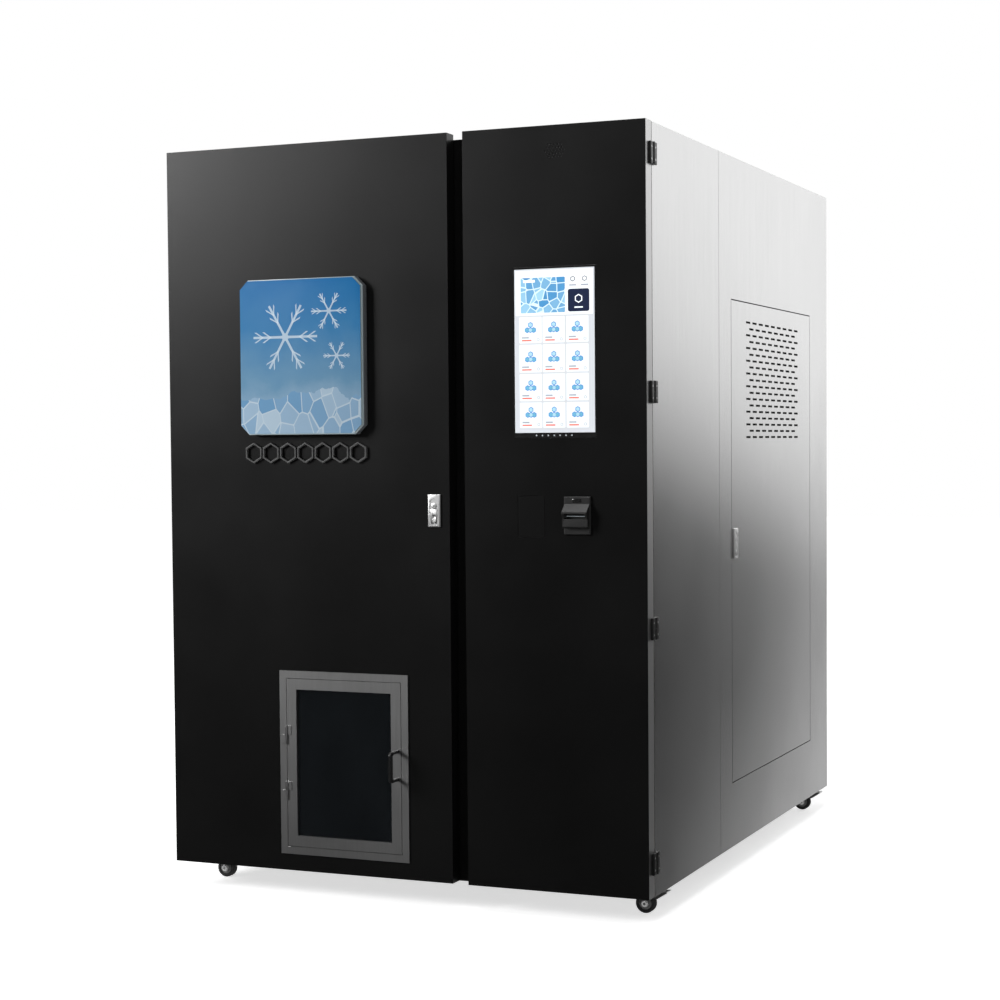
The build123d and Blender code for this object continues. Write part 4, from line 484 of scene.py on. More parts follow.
dress(moulded("hopper_white", (0.78, 0.8, 0.82, 1), 0.4), "ice_hopper", "ice_maker")
dress(brushed("screw_steel", shade(0.7), shade(0.5), 0.3, (1, 0.05, 1)), "hopper_auger")
dress(coated("motor_blue", (0.03, 0.07, 0.16, 1), (0.06, 0.1, 0.18, 1), 0.35), "auger_motor")
soften(0.004, "ice_hopper", "ice_maker")
soften(0.001, "auger_motor")

# The pick-up bay is a bright stainless box, with the drop chute on its roof and a hinged gate below it.
# Its brush strokes run across, with a soft cloud of handling marks.
bay_sheet = brushed("bay_sheet", shade(0.74), shade(0.55), 0.34, (0.015, 1, 1))
dress(bay_sheet, "pick_up_bay", "chute_gate")
soften(0.0006, "pick_up_bay", "chute_gate")

# The cooling plant stands behind the louvres: grooved coil, black fan, black compressor and a grey
# control cabinet with a stepped lid.
FIN_PITCH = 0.001

fins = Finish("coil_fins")
fin_level = fins.axes()[2]
fin_lines = fins.node("ShaderNodeMath", {"operation": "PINGPONG"}, {0: fin_level, 1: FIN_PITCH}) * 1000
fin_tone = fins.mix(fin_lines, shade(0.09), shade(0.03))
fins.done(
    base_color=fin_tone,
    metallic=0.6,
    roughness=fin_lines * 0.2 + 0.3,
    normal=fins.bump(fin_lines, 0.0003),
)
dress(fins.material, "condenser")
dress(moulded("fan_black", shade(0.02), 0.5), "condenser_fan")
dress(coated("compressor_black", shade(0.015), shade(0.04), 0.4), "compressor")
dress(coated("control_grey", shade(0.5, (0.98, 1, 0.97)), shade(0.42), 0.5), "control_box")
soften(0.0015, "control_box")
soften(0.0008, "condenser_fan")

# The left door is a black satin pan with a mill-finish cover at the back, pressed with long beads.
# The folded edges are slightly round, and the cover shows only with the door open.
dress(black_satin, "left_door_skin")
dress(mill_sheet, "left_door_back")
soften(0.0009, "left_door_skin")
soften(0.0006, "left_door_back")

# The picture is a shallow light box with its corners cut off and a clear printed front.
# The print is a plain design of ice crystals under a blue sky, and its edge shows layered sheets.
PICTURE_MIDDLE = Vector((-0.306, -1.0345, 1.664))
PICTURE_HALF = (0.2095, 0.2365)
PICTURE_CORNER = 0.028
PICTURE_DEEP = 0.036
FACE_THICK = 0.006
FACE_INSET = 0.003
FACE_CORNER = PICTURE_CORNER - 0.0018
FACE_EDGE = -1.0697
CASE_BAND = -1.0585
ICE_LEVEL = -0.055
ICE_SCALE = 22.0
CRYSTALS = (
    ((-0.05, 0.06), 0.11, 0.0036),
    ((0.1, 0.135), 0.06, 0.0024),
    ((0.125, 0.0), 0.045, 0.002),
)


def cut_slab(low, high, corner, rim):
    """A slab in the XZ plane with its corners cut off and a softened rim."""
    slab = brick(low, high)
    activate(slab)
    bpy.ops.object.mode_set(mode="EDIT")
    bpy.ops.mesh.select_mode(type="EDGE")
    bpy.ops.mesh.select_all(action="DESELECT")
    bpy.ops.object.mode_set(mode="OBJECT")
    for edge in slab.data.edges:
        a, b = (slab.data.vertices[i].co for i in edge.vertices)
        edge.select = abs(a.y - b.y) > 0.5 * (high[1] - low[1])
    bpy.ops.object.mode_set(mode="EDIT")
    bpy.ops.mesh.bevel(offset=corner, segments=1)
    bpy.ops.object.mode_set(mode="OBJECT")
    return rounded(slab, rim, 2)


def slab_at(middle, half, front, back, inset, corner, rim):
    """A slab with cut corners about a middle point, between two distances in front of the door."""
    low = (middle.x - half[0] + inset, middle.y - front, middle.z - half[1] + inset)
    high = (middle.x + half[0] - inset, middle.y - back, middle.z + half[1] - inset)
    return cut_slab(low, high, corner, rim)


case = Finish("picture_case")
case_y = case.axes()[1]
layer = case.node("ShaderNodeMath", {"operation": "PINGPONG"}, {0: case_y, 1: 0.004}) * 250
band_tone = case.mix(layer, shade(0.05), (0.09, 0.1, 0.11, 1))
case_tone = case.mix(case_y < CASE_BAND, band_tone, (0.24, 0.29, 0.31, 1))
case.done(base_color=case_tone, roughness=layer * 0.2 + 0.25, normal=case.bump(layer, 0.0002))
slab = slab_at(PICTURE_MIDDLE, PICTURE_HALF, PICTURE_DEEP - FACE_THICK, 0, 0, PICTURE_CORNER, 0.0008)
piece = joined("picture_case", case.material, [slab])
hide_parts("picture_box")
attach(piece, "left_door")

sky = Finish("picture_print")
sky_x, sky_y, sky_z = sky.axes()
along, rise = sky_x - PICTURE_MIDDLE.x, sky_z - PICTURE_MIDDLE.z
haze = sky.noise(0.09, detail=5.0)
height = rise * 2.1 + 0.5 + haze * 0.25 - 0.12
stops = [
    (0.0, (0.25, 0.32, 0.38, 1)),
    (0.35, (0.078, 0.163, 0.25, 1)),
    (0.7, (0.022, 0.107, 0.228, 1)),
    (1.0, (0.007, 0.082, 0.21, 1)),
]
tone = sky.node("ShaderNodeValToRGB", {"stops": stops}, {"Fac": height})
blocks = {"Vector": sky.place((1, 1, 0.7)), "Scale": ICE_SCALE}
facets = sky.node("ShaderNodeTexVoronoi", {"feature": "DISTANCE_TO_EDGE"}, blocks)
cell = sky.node("ShaderNodeTexVoronoi", {}, blocks, "Color")
ice_bank = (haze * 0.12 + rise) < ICE_LEVEL
cell_grey = sky.node("ShaderNodeSeparateColor", {}, {"Color": cell}, "Red")
ice_tone = sky.mix(cell_grey, (0.24, 0.31, 0.37, 1), (0.06, 0.16, 0.28, 1))
ice_tone = sky.mix(facets < 0.03, ice_tone, (0.28, 0.34, 0.39, 1))
tone = sky.mix(ice_bank, tone, ice_tone)


def crystal(place, size, arm):
    """Mask of one six-armed crystal with two chevrons on each arm."""
    u, v = along - place[0], rise - place[1]
    reach = sky.node("ShaderNodeMath", {"operation": "SQRT"}, {0: u * u + v * v})
    turn = sky.node("ShaderNodeMath", {"operation": "ARCTAN2"}, {0: v, 1: u})
    side = abs(sky.node("ShaderNodeMath", {"operation": "SINE"}, {0: turn * 3}) * reach) / 3
    mask = (side < arm) * (reach < size)
    for share in (0.45, 0.7):
        bend = abs(reach - side * 1.8 - size * share)
        mask = mask + (bend < arm) * (side < size * 0.14)
    return mask * 0.75


for place, size, arm in CRYSTALS:
    tone = sky.mix(crystal(place, size, arm), tone, (0.32, 0.38, 0.43, 1))
edge_layer = sky.node("ShaderNodeMath", {"operation": "PINGPONG"}, {0: sky_y, 1: 0.0015}) * 660
edge_tone = sky.mix(edge_layer, (0.1, 0.13, 0.12, 1), (0.25, 0.3, 0.28, 1))
tone = sky.mix(sky_y > FACE_EDGE, tone, edge_tone)
sky.done(base_color=tone, roughness=haze * 0.1 + 0.4, specular_ior_level=0.08)
face_back = PICTURE_DEEP - FACE_THICK
slab = slab_at(PICTURE_MIDDLE, PICTURE_HALF, PICTURE_DEEP, face_back, FACE_INSET, FACE_CORNER, 0.0005)
piece = joined("picture_front", sky.material, [slab])
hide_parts("picture_face")
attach(piece, "left_door")

# Raised hexagon rings stand in a row below the picture. They are cut from plate and coated dark grey
# with a satin finish.
dress(coated("ring_grey", shade(0.05), shade(0.035), 0.45, 0.3), "ring_row")
soften(0.0015, "ring_row")

# The pick-up hatch is a brushed stainless frame, a framed door with a dark pane and a black bow handle.
# The frame's mitred sheet is brushed upright, and the pane is deep grey and slightly smoky.
hatch_steel = brushed("hatch_steel", shade(0.55), shade(0.34), 0.36, (1, 1, 0.02))
dress(hatch_steel, "pick_up_frame", "pick_up_door_frame")
soften(0.0008, "pick_up_frame", "pick_up_door_frame")
pane = Finish("smoked_pane")
smoke = pane.noise(0.15)
pane_tone = pane.mix(smoke, (0.002, 0.0025, 0.003, 1), (0.005, 0.006, 0.007, 1))
pane.done(base_color=pane_tone, roughness=smoke * 0.04 + 0.03, alpha=smoke * 0.03 + 0.93)
dress(pane.material, "pick_up_glass")
dress(moulded("handle_black", shade(0.006), 0.28), "pick_up_handle")
soften(0.0022, "pick_up_handle")

# The flush lock is chromed: a plate with an arched relief, a key plug and a pull paddle in a pocket.
# The same lock sits on the left door and, turned to the side, on the access door.
LOCK_HALF = (0.02, 0.049)
LOCK_PROUD = 0.006
RELIEF_HALF = 0.0145
RELIEF_SPRING = 0.022
RELIEF_FACE = -LOCK_PROUD + 0.0012
BODY_HALF = (0.015, 0.044)
PLUG = 0.006
PLUG_BORE = 0.00605
PLUG_ABOVE = 0.015
TAIL = 0.004
CAM_THICK = 0.003
CAM_HALF = 0.007
PADDLE_HALF = 0.01
PADDLE_TOP = 0.006
PADDLE_FOOT = -0.034
PADDLE_AXIS = (-0.0031, 0.0037)
PADDLE_THICK_HALF = 0.0023
POCKET_HALF = 0.0106
POCKET_FOOT = -0.041
FRONT_LOCK = Matrix.Translation((0.123, -1.0345, 1.197))
SIDE_LOCK = Matrix.Translation((0.79, -0.1615, 1.066)) @ Matrix.Rotation(math.radians(90), 4, "Z")
LOCKS = (("left", FRONT_LOCK, "left_door", 0.057), ("side", SIDE_LOCK, "side_door", 0.024))

chrome = Finish("lock_chrome")
smear = chrome.noise(0.02)
fine = chrome.noise(0.0015)
chrome.done(
    base_color=chrome.mix(smear, shade(0.9), shade(0.76)),
    metallic=1.0,
    roughness=smear * 0.16 + 0.3,
    normal=chrome.bump(fine, 0.00001),
)


def plug_bore():
    """Tool for the hole that the key plug turns in."""
    return bar((0, PLUG_ABOVE), PLUG_BORE, -0.01, 0.03)


def paddle_pocket():
    """Tool for the pocket that the paddle lies in."""
    return brick((-POCKET_HALF, -0.01, POCKET_FOOT), (POCKET_HALF, 0.002, PADDLE_TOP + 0.00125))


def lock_plate():
    """Plate with arched relief, plug bore and paddle pocket, on its body."""
    plate = brick((-LOCK_HALF[0], -LOCK_PROUD, -LOCK_HALF[1]), (LOCK_HALF[0], 0, LOCK_HALF[1]))
    plate = rounded(plate, 0.0022, 4)
    arch = bar((0, RELIEF_SPRING), RELIEF_HALF, -0.01, RELIEF_FACE, sides=64)
    panel = brick((-RELIEF_HALF, -0.01, -0.0435), (RELIEF_HALF, RELIEF_FACE, RELIEF_SPRING))
    plate = cut(plate, arch, panel, plug_bore(), paddle_pocket())
    body = brick((-BODY_HALF[0], -0.0005, -BODY_HALF[1]), (BODY_HALF[0], 0.02, BODY_HALF[1]))
    body = cut(rounded(body, 0.0006, 2), plug_bore(), paddle_pocket())
    collar = bar((0, PLUG_ABOVE), 0.0085, -LOCK_PROUD, -LOCK_PROUD + 0.002, sides=64)
    collar = cut(rounded(collar, 0.0005, 2), plug_bore())
    return [plate, body, collar]


def lock_paddle():
    """Pull paddle with a scalloped foot and a finger scoop."""
    y0, y1 = PADDLE_AXIS[0] - PADDLE_THICK_HALF, PADDLE_AXIS[0] + PADDLE_THICK_HALF
    paddle = brick((-PADDLE_HALF, y0, PADDLE_FOOT), (PADDLE_HALF, y1, PADDLE_TOP))
    for way in (-1, 1):
        corner = bar((way * 0.0112, PADDLE_FOOT - 0.001), 0.006, y0 - 0.01, y1 + 0.01)
        paddle = cut(paddle, corner)
    scoop = bar((y0 - 0.0075, -0.018), 0.0095, -0.0055, 0.0055, "X", 64)
    paddle = rounded(cut(paddle, scoop), 0.0006, 2)
    pivot = bar(PADDLE_AXIS, 0.0015, -0.012, 0.012, "X", 24)
    return [paddle, pivot]


def lock_plug(cam):
    """Key plug with its keyway, tail and cam; cam is how far back the cam starts."""
    face = -LOCK_PROUD + 0.0003
    plug = rounded(bar((0, PLUG_ABOVE), PLUG, face, 0.018, sides=64), 0.0006, 2)
    mouth, end = face - 0.001, face + 0.003
    keyway = brick((-0.0006, mouth, PLUG_ABOVE - 0.004), (0.0006, end, PLUG_ABOVE + 0.004))
    plug = cut(plug, keyway, bar((0, PLUG_ABOVE), 0.0013, mouth, end, sides=24))
    back = cam + CAM_THICK
    tail = bar((0, PLUG_ABOVE), TAIL, 0.0175, back, sides=32)
    arm = brick((-CAM_HALF, cam, PLUG_ABOVE - 0.03), (CAM_HALF, back, PLUG_ABOVE + CAM_HALF))
    return [plug, tail, rounded(arm, 0.001, 2)]


for side, place, body, cam in LOCKS:
    for node, parts, rides in (
        (f"{side}_lock_frame", lock_plate(), body),
        (f"{side}_lock_paddle", lock_paddle(), f"{side}_lock_paddle"),
        (f"{side}_key_plug", lock_plug(cam), f"{side}_key_plug"),
    ):
        piece = joined(node + "_chrome", chrome.material, parts)
        piece.data.transform(place)
        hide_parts(node)
        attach(piece, rides)

# The right door is the same black pan, but its outer return is left as bare brushed stainless.
# It carries a bolt inside, and its cover has the bolt's guides.
RETURN_FACE = 0.78985

door = Finish("right_door_satin")
bare = door.axes()[0] > RETURN_FACE
cloud = door.noise(0.35, detail=4.0)
peel = door.noise(0.0022, detail=1.0)
strokes = door.noise(0.0012, UPRIGHT, 4.0)
coat_tone = door.mix(cloud * 0.6, shade(0.0015), shade(0.0035))
steel_tone = door.mix(strokes * 0.6, shade(0.5), shade(0.33))
door.done(
    base_color=door.mix(bare, coat_tone, steel_tone),
    metallic=bare,
    specular_ior_level=SATIN_GLOSS,
    roughness=(1 - bare) * (cloud * 0.12 + SATIN_ROUGH - 0.07) + bare * (strokes * 0.14 + 0.28),
    normal=door.bump((1 - bare) * peel * 2 + bare * strokes, 0.00003),
)
dress(door.material, "right_door_skin")
dress(mill_sheet, "right_door_back")
dress(bright_pin, "right_door_bolt")
soften(0.0007, "right_door_skin")
soften(0.0006, "right_door_back", "right_door_bolt")

# The touch screen is a sheet of black glass in the door, with a bright page of cards behind it.
# The page shows plain tiles and ice-cube signs only, and a row of dots below stands for its sensors.
SCREEN_FRONT = -1.0355
DOOR_LEFT = -0.79
DOOR_SILL = 0.082
LAYER = 0.0001
CUBE_SCALE = 38.0
PAGE_COLUMNS = ((1190, 1260), (1263, 1332), (1336, 1405))
PAGE_ROWS = (1682, 1602, 1517, 1434, 1356)
SENSOR_COUNT = 7

glass = Finish("screen_glass")
film = glass.noise(0.12, detail=4.0)
film_tone = glass.mix(film, shade(0.006), shade(0.012))
glass.done(base_color=film_tone, roughness=film * 0.08 + 0.05, coat_weight=0.5, coat_roughness=0.04)
dress(glass.material, "touch_screen")
soften(0.0004, "touch_screen")


def lit(name, colour, glow):
    """A lit part of the page: a flat print colour with a faint grain of screen dots."""
    page = Finish(name)
    dots = page.noise(0.0008, detail=1.0)
    tint = page.mix(dots * 0.3, colour, tuple(c * 0.85 for c in colour[:3]) + (1.0,))
    return page.done(
        base_color=tint,
        roughness=dots * 0.05 + 0.12,
        emission_color=tint,
        emission_strength=glow,
        coat_weight=0.5,
    )


page_white = lit("page_white", (0.66, 0.69, 0.72, 1), 0.4)
page_ground = lit("page_ground", (0.47, 0.49, 0.52, 1), 0.3)
page_blue = lit("page_blue", (0.05, 0.2, 0.5, 1), 0.3)
page_navy = lit("page_navy", (0.012, 0.018, 0.045, 1), 0.1)
page_sky = lit("page_sky", (0.12, 0.34, 0.5, 1), 0.25)
page_card = lit("page_card", (0.62, 0.66, 0.7, 1), 0.35)
page_ice = lit("page_ice", (0.32, 0.52, 0.62, 1), 0.25)
page_grey = lit("page_grey", (0.3, 0.33, 0.38, 1), 0.15)
page_red = lit("page_red", (0.8, 0.15, 0.1, 1), 0.25)
sensor_grey = lit("sensor_grey", (0.3, 0.32, 0.34, 1), 0.1)

cubes = Finish("page_cubes")
lump = {"Vector": cubes.place(), "Scale": CUBE_SCALE}
lump_edge = cubes.node("ShaderNodeTexVoronoi", {"feature": "DISTANCE_TO_EDGE"}, lump)
lump_cell = cubes.node("ShaderNodeTexVoronoi", {}, lump, "Color")
lump_grey = cubes.node("ShaderNodeSeparateColor", {}, {"Color": lump_cell})
lump_tone = cubes.mix(lump_grey, (0.04, 0.2, 0.42, 1), (0.3, 0.52, 0.66, 1))
lump_tone = cubes.mix(lump_edge < 0.05, lump_tone, (0.55, 0.68, 0.78, 1))
page_cubes = cubes.done(
    base_color=lump_tone,
    roughness=lump_grey * 0.05 + 0.12,
    emission_color=lump_tone,
    emission_strength=0.15,
)


def tile(x0, x1, z0, z1, layer, material, corner=0.003):
    """A thin tile of the page, in millimetres from the left door's edge and the doors' foot."""
    low = (DOOR_LEFT + x0 / 1000, SCREEN_FRONT - layer * LAYER, DOOR_SILL + z0 / 1000)
    high = (DOOR_LEFT + x1 / 1000, SCREEN_FRONT + 0.0002, DOOR_SILL + z1 / 1000)
    made = brick(low, high)
    activate(made)
    bpy.ops.object.mode_set(mode="EDIT")
    bpy.ops.mesh.select_mode(type="EDGE")
    bpy.ops.mesh.select_all(action="DESELECT")
    bpy.ops.object.mode_set(mode="OBJECT")
    for edge in made.data.edges:
        a, b = (made.data.vertices[i].co for i in edge.vertices)
        edge.select = abs(a.y - b.y) > 0.0001
    bpy.ops.object.mode_set(mode="EDIT")
    bpy.ops.mesh.bevel(offset=corner, segments=3)
    bpy.ops.object.mode_set(mode="OBJECT")
    made.data.materials.append(material)
    return made


def cube_sign(x, z, radius, layer, outer, inner):
    """A hexagon with a smaller hexagon inside it, as a sign for an ice cube."""
    centre = (DOOR_LEFT + x / 1000, DOOR_SILL + z / 1000)
    made = []
    for size, step, material in ((radius, 0, outer), (radius * 0.72, 1, inner)):
        front = SCREEN_FRONT - (layer + step) * LAYER
        sign = bar(centre, size / 1000, front, SCREEN_FRONT + 0.0001, sides=6)
        sign.data.materials.append(material)
        made.append(sign)
    return made


page = [
    tile(1175, 1423.5, 1344, 1818, 1, page_ground, 0.001),
    tile(1179, 1419, 1684, 1814, 2, page_white, 0.001),
    tile(1195, 1333, 1691, 1793, 3, page_cubes),
    tile(1203, 1240, 1779, 1787, 4, page_white, 0.002),
]
for x0, x1 in ((1341, 1373), (1377, 1410)):
    page += cube_sign((x0 + x1) / 2, 1786, 8, 3, page_navy, page_white)
    page.append(tile(x0 + 5, x1 - 5, 1766, 1770, 3, page_grey, 0.001))
page.append(tile(1342, 1408, 1692, 1757, 3, page_navy, 0.006))
page += cube_sign(1375, 1729, 13, 4, page_white, page_navy)
page.append(tile(1362, 1388, 1702, 1706, 4, page_white, 0.001))
for above, below in zip(PAGE_ROWS, PAGE_ROWS[1:]):
    top, foot = above - 2, below + 2
    for x0, x1 in PAGE_COLUMNS:
        middle, pile = (x0 + x1) / 2, foot + 38
        page.append(tile(x0, x1, foot, top, 2, page_card, 0.003))
        for x, z in ((-10, 0), (10, 0), (0, 0), (0, 15)):
            page += cube_sign(middle + x, pile + z, 8.5, 3, page_blue, (page_sky, page_ice)[x == 0])
        page.append(tile(x0 + 8, x0 + 30, foot + 14, foot + 18, 3, page_grey, 0.001))
        page.append(tile(x0 + 8, x0 + 38, foot + 6, foot + 10, 3, page_red, 0.001))
        page += cube_sign(x1 - 11, foot + 10, 4.5, 3, page_grey, page_card)
for i in range(SENSOR_COUNT):
    centre = (DOOR_LEFT + (1242 + i * 110 / (SENSOR_COUNT - 1)) / 1000, DOOR_SILL + 1.336)
    dot = bar(centre, 0.0024, SCREEN_FRONT - 0.0003, SCREEN_FRONT + 0.0001, sides=24)
    dot.data.materials.append(sensor_grey)
    page.append(dot)
piece = joined("screen_page", page_white, page)
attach(piece, "right_door")

# Below the screen are a flush blank plate, coated as the door, and a moulded black card reader.
# The reader has a pale guide lip in its slot under the hood and a small dark window.
dress(black_satin, "blank_plate")
soften(0.0005, "blank_plate")
dress(moulded("reader_black", shade(0.007), 0.4, 0.0008, 0.00006), "card_reader")
soften(0.0012, "card_reader")
slot_light = lit("slot_light", (0.35, 0.4, 0.42, 1), 0.15)
READER_MIDDLE = DOOR_LEFT + 1.3685
SLOT_LEVEL = 1.184
GUIDE_HALF = (0.031, 0.0012)
WINDOW_HALF = 0.014
guide = brick(
    (READER_MIDDLE - GUIDE_HALF[0], -1.0450, SLOT_LEVEL - GUIDE_HALF[1]),
    (READER_MIDDLE + GUIDE_HALF[0], -1.0443, SLOT_LEVEL + GUIDE_HALF[1]),
)
guide.data.materials.append(slot_light)
window = brick(
    (READER_MIDDLE - WINDOW_HALF, -1.0441, 1.2235), (READER_MIDDLE + WINDOW_HALF, -1.0432, 1.2335)
)
window = rounded(window, 0.0003, 2)
window.data.materials.append(glass.material)
piece = joined("reader_lights", slot_light, [guide, window])
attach(piece, "right_door")

# The loudspeaker sits behind the drilled holes in the right door.
# Its paper cone is dull and dark, and shows only through the holes or with the door open.
dress(moulded("speaker_paper", shade(0.03), 0.8), "speaker")

# The access door is brushed as the sides, and the louvre slots are cut in staggered rows.
# Its sheet is the same steel, so its strokes run upright as theirs do.
dress(side_sheet, "side_door_skin")
soften(0.0005, "side_door_skin")

# The four casters have a pressed and zinc-plated fork and brake pedal, a black tyre on a grey wheel
# and a bright bolt through the axle.
TRAIL = 0.024
WHEEL = 0.03
WHEEL_HALF = 0.012
HUB = 0.019
AXLE_BORE = 0.0052
FORK_HALF = 0.016
WASHER = 0.0105
HEAD = 0.0093
HEAD_THICK = 0.006
HEAD_SOCKET = 0.004
PEDAL_SPOT = (0.04592, 0.05805)
PEDAL_HALF = 0.0186
PEDAL_BOLT = 0.0034
CASTER_PLACES = {
    "front_left": (-0.692, -0.8445, math.pi),
    "front_right": (0.692, -0.8445, 0),
    "rear_left": (-0.692, 0.9815, math.pi),
    "rear_right": (0.692, 0.9815, 0),
}

zinc = brushed("caster_zinc", shade(0.68), shade(0.42), 0.34, (1, 1, 1), 0.004)
tyre = moulded("tyre_black", shade(0.02), 0.7, 0.002, 0.0001)
hub_grey = moulded("hub_grey", shade(0.12), 0.45)
bolt_zinc = coated("bolt_zinc", shade(0.6), shade(0.45), 0.35, 0.8)
dress(zinc, "caster_plates")
soften(0.0006, "caster_plates")


def wheel_parts():
    """Tyre and dished hub of one wheel."""
    rim = bar((TRAIL, WHEEL), WHEEL, -WHEEL_HALF, WHEEL_HALF, sides=96)
    rim = rounded(rim, 0.0028, 4)
    for way in (-1, 1):
        inner, outer = way * (WHEEL_HALF - 0.0025), way * (WHEEL_HALF + 0.01)
        rim = cut(rim, bar((TRAIL, WHEEL), HUB + 0.003, inner, outer, sides=64))
    rim = cut(rim, bar((TRAIL, WHEEL), AXLE_BORE, -0.02, 0.02))
    rim.data.materials.append(tyre)
    hub = bar((TRAIL, WHEEL), HUB, -WHEEL_HALF + 0.001, WHEEL_HALF - 0.001, sides=64)
    hub = cut(rounded(hub, 0.001, 2), bar((TRAIL, WHEEL), AXLE_BORE, -0.02, 0.02))
    hub.data.materials.append(hub_grey)
    return [rim, hub]


def axle_parts():
    """Round bolt heads on the fork, with washers."""
    made = []
    for way in (-1, 1):
        start = way * FORK_HALF
        washer = bar((TRAIL, WHEEL), WASHER, start, start + way * 0.0012, sides=48)
        end = start + way * (HEAD_THICK + 0.0003)
        head = bar((TRAIL, WHEEL), HEAD, start + way * 0.001, end, sides=48)
        socket = bar((TRAIL, WHEEL), HEAD_SOCKET, start + way * 0.004, start + way * 0.01, sides=6)
        made += [rounded(washer, 0.0003, 2), cut(rounded(head, 0.0016, 3), socket)]
    return made


def pedal_bolts():
    """Two small bolts on each side of the brake pedal."""
    made = []
    for way in (-1, 1):
        start = way * PEDAL_HALF
        for spot in (PEDAL_SPOT, (PEDAL_SPOT[0] + 0.013, PEDAL_SPOT[1] + 0.0035)):
            bolt = bar(spot, PEDAL_BOLT, start, start + way * 0.0016, sides=24)
            made.append(rounded(bolt, 0.0006, 2))
    return made


for corner, (x, y, turn) in CASTER_PLACES.items():
    place = Matrix.Translation((x, y, 0)) @ Matrix.Rotation(turn, 4, "Z")
    dress(zinc, f"caster_fork_{corner}", f"caster_pedal_{corner}")
    soften(0.0005, f"caster_fork_{corner}", f"caster_pedal_{corner}")
    for name, material, parts, rides, slot in (
        ("wheel_round", tyre, wheel_parts(), "wheel", "tyre_rubber"),
        ("axle_bolts", bolt_zinc, axle_parts(), "fork", "caster_zinc"),
        ("pedal_bolts", bolt_zinc, pedal_bolts(), "pedal", "caster_zinc"),
    ):
        piece = joined(f"{name}_{corner}", material, parts)
        piece.data.transform(place)
        if rides == "wheel":
            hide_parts(f"caster_wheel_{corner}")
        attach(piece, f"caster_{rides}_{corner}")

# The machine stands on a plain white studio floor, lit softly from the left, from the back right and
# from above. Large cards at both sides, light above and dark below, are what the brushed sheets mirror.
FLOOR_HALF = 30.0

paper = Finish("studio_floor")
paper_cloud = paper.noise(1.5)
paper_x, paper_y = paper.axes()[:2]
paper_far = paper_x * paper_x + paper_y * paper_y
stops = [(0.0, shade(0.62)), (0.25, shade(0.75)), (1.0, shade(1.0))]
paper_glow = paper.node("ShaderNodeValToRGB", {"stops": stops}, {"Fac": paper_far / 16})
paper.done(
    base_color=paper.mix(paper_cloud, shade(0.9), shade(0.87)),
    roughness=paper_cloud * 0.1 + 0.6,
    emission_color=paper_glow,
    emission_strength=1.0,
)
bpy.ops.mesh.primitive_plane_add(size=2 * FLOOR_HALF, location=(0, 0, 0))
floor = bpy.context.object
floor.name = "studio_floor"
floor.data.materials.append(paper.material)
floor.visible_glossy = False

CARD_X = 2.2
CARD_HALF = 6.0
CARD_LIGHT = 1.35
NEAR_CARD = (CARD_X + 0.1, -4.0)
NEAR_DARK = 2.6
NEAR_LIGHT = 0.6

card = Finish("side_card")
card_y, card_z = card.axes()[1:]
card_cloud = card.noise(1.2)
stops = [(0.0, shade(0.0)), (0.35, shade(0.08)), (0.7, shade(0.8)), (1.0, shade(1.0))]
upper_place = card_z * 0.45 + card_y * 0.1 - 0.46
upper = card.node("ShaderNodeValToRGB", {"stops": stops}, {"Fac": upper_place})
stops = [(0.0, shade(0.01)), (0.4, shade(0.16)), (1.0, shade(0.62))]
lower_place = card_y * 0.4 - 1.8 - card_z * 0.45
lower = card.node("ShaderNodeValToRGB", {"stops": stops}, {"Fac": lower_place})
upper_share = card.node("ShaderNodeSeparateColor", {}, {"Color": upper}, "Red")
glow = card.mix(upper_share, lower, shade(1.0))
card.done(
    base_color=shade(0.0),
    roughness=card_cloud * 0.1 + 0.8,
    emission_color=glow,
    emission_strength=CARD_LIGHT,
)

near = Finish("near_card")
near_y, near_z = near.axes()[1:]
fade_range = {"Value": near_y, "From Min": NEAR_DARK, "From Max": NEAR_LIGHT}
fade = near.node("ShaderNodeMapRange", {}, fade_range, "Result")
stops = [(0.0, shade(0.0)), (1.0, shade(0.6))]
glow = near.node("ShaderNodeValToRGB", {"stops": stops}, {"Fac": (near_z * 0.22 + 0.3) * fade})
near_cloud = near.noise(1.2)
near.done(
    base_color=shade(0.0),
    roughness=near_cloud * 0.1 + 0.8,
    emission_color=glow,
    emission_strength=1.0,
)


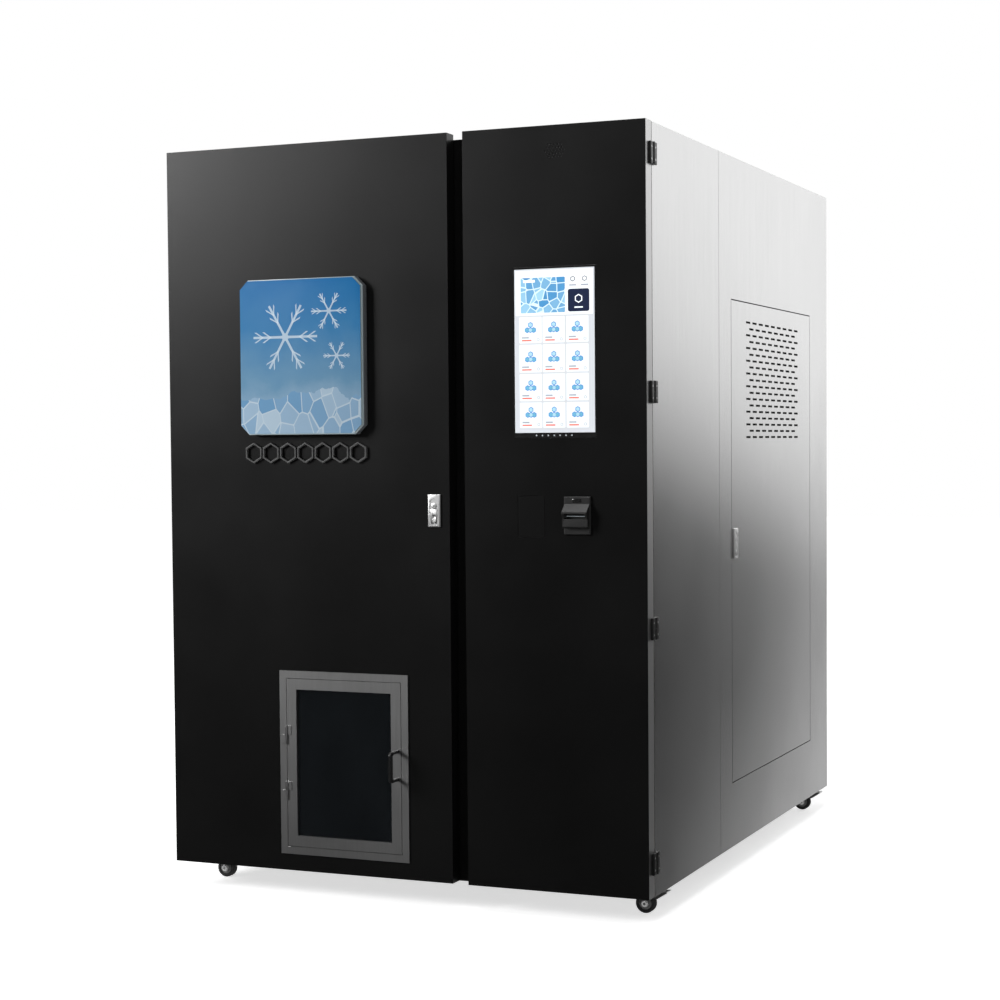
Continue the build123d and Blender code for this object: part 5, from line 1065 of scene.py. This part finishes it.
def reflector(name, x, y, material):
    """A large upright card at one side that only shiny surfaces see."""
    bpy.ops.mesh.primitive_plane_add(size=2 * CARD_HALF, location=(x, y, 0))
    side_card = bpy.context.object
    side_card.name = name
    side_card.rotation_euler = (0, math.pi / 2, 0)
    settle(side_card)
    side_card.data.materials.append(material)
    side_card.visible_camera = False
    side_card.visible_diffuse = False
    side_card.visible_shadow = False
    side_card.visible_transmission = False


reflector("right_card", CARD_X, CARD_HALF, card.material)
reflector("left_card", -CARD_X, CARD_HALF, card.material)
reflector("near_card", *NEAR_CARD, near.material)


def soft_light(name, place, aim, size, power):
    """A large square studio light at a place, pointed at a spot."""
    light = bpy.data.lights.new(name, "AREA")
    light.shape = "SQUARE"
    light.size = size
    light.energy = power
    holder = bpy.data.objects.new(name, light)
    holder.location = place
    holder.rotation_euler = (Vector(aim) - Vector(place)).to_track_quat("-Z", "Y").to_euler()
    holder.visible_camera = False
    bpy.context.scene.collection.objects.link(holder)


soft_light("left_light", (-6.0, -6.5, 4.5), (-0.5, -1.0, 1.6), 3.5, 720)
soft_light("top_light", (0.5, -1.5, 6.0), (0.2, -0.5, 1.0), 4.0, 260)
soft_light("right_light", (4.0, 6.5, 4.0), (0.8, 0.8, 1.5), 4.0, 170)

WORLD_LIGHT = 0.03
BACKDROP = 1.0

world = bpy.data.worlds.new("studio")
world.use_nodes = True
world_nodes = world.node_tree.nodes
backdrop = world_nodes.new("ShaderNodeBackground")
backdrop.inputs["Strength"].default_value = BACKDROP
backdrop.inputs["Color"].default_value = (1, 1, 1, 1)
world_nodes["Background"].inputs["Color"].default_value = (1, 1, 1, 1)
world_nodes["Background"].inputs["Strength"].default_value = WORLD_LIGHT
seen = world_nodes.new("ShaderNodeLightPath")
either = world_nodes.new("ShaderNodeMixShader")
links = world.node_tree.links
links.new(seen.outputs["Is Camera Ray"], either.inputs[0])
links.new(world_nodes["Background"].outputs[0], either.inputs[1])
links.new(backdrop.outputs[0], either.inputs[2])
links.new(either.outputs[0], world_nodes["World Output"].inputs[0])
bpy.context.scene.world = world
bpy.context.scene.view_settings.view_transform = "Standard"
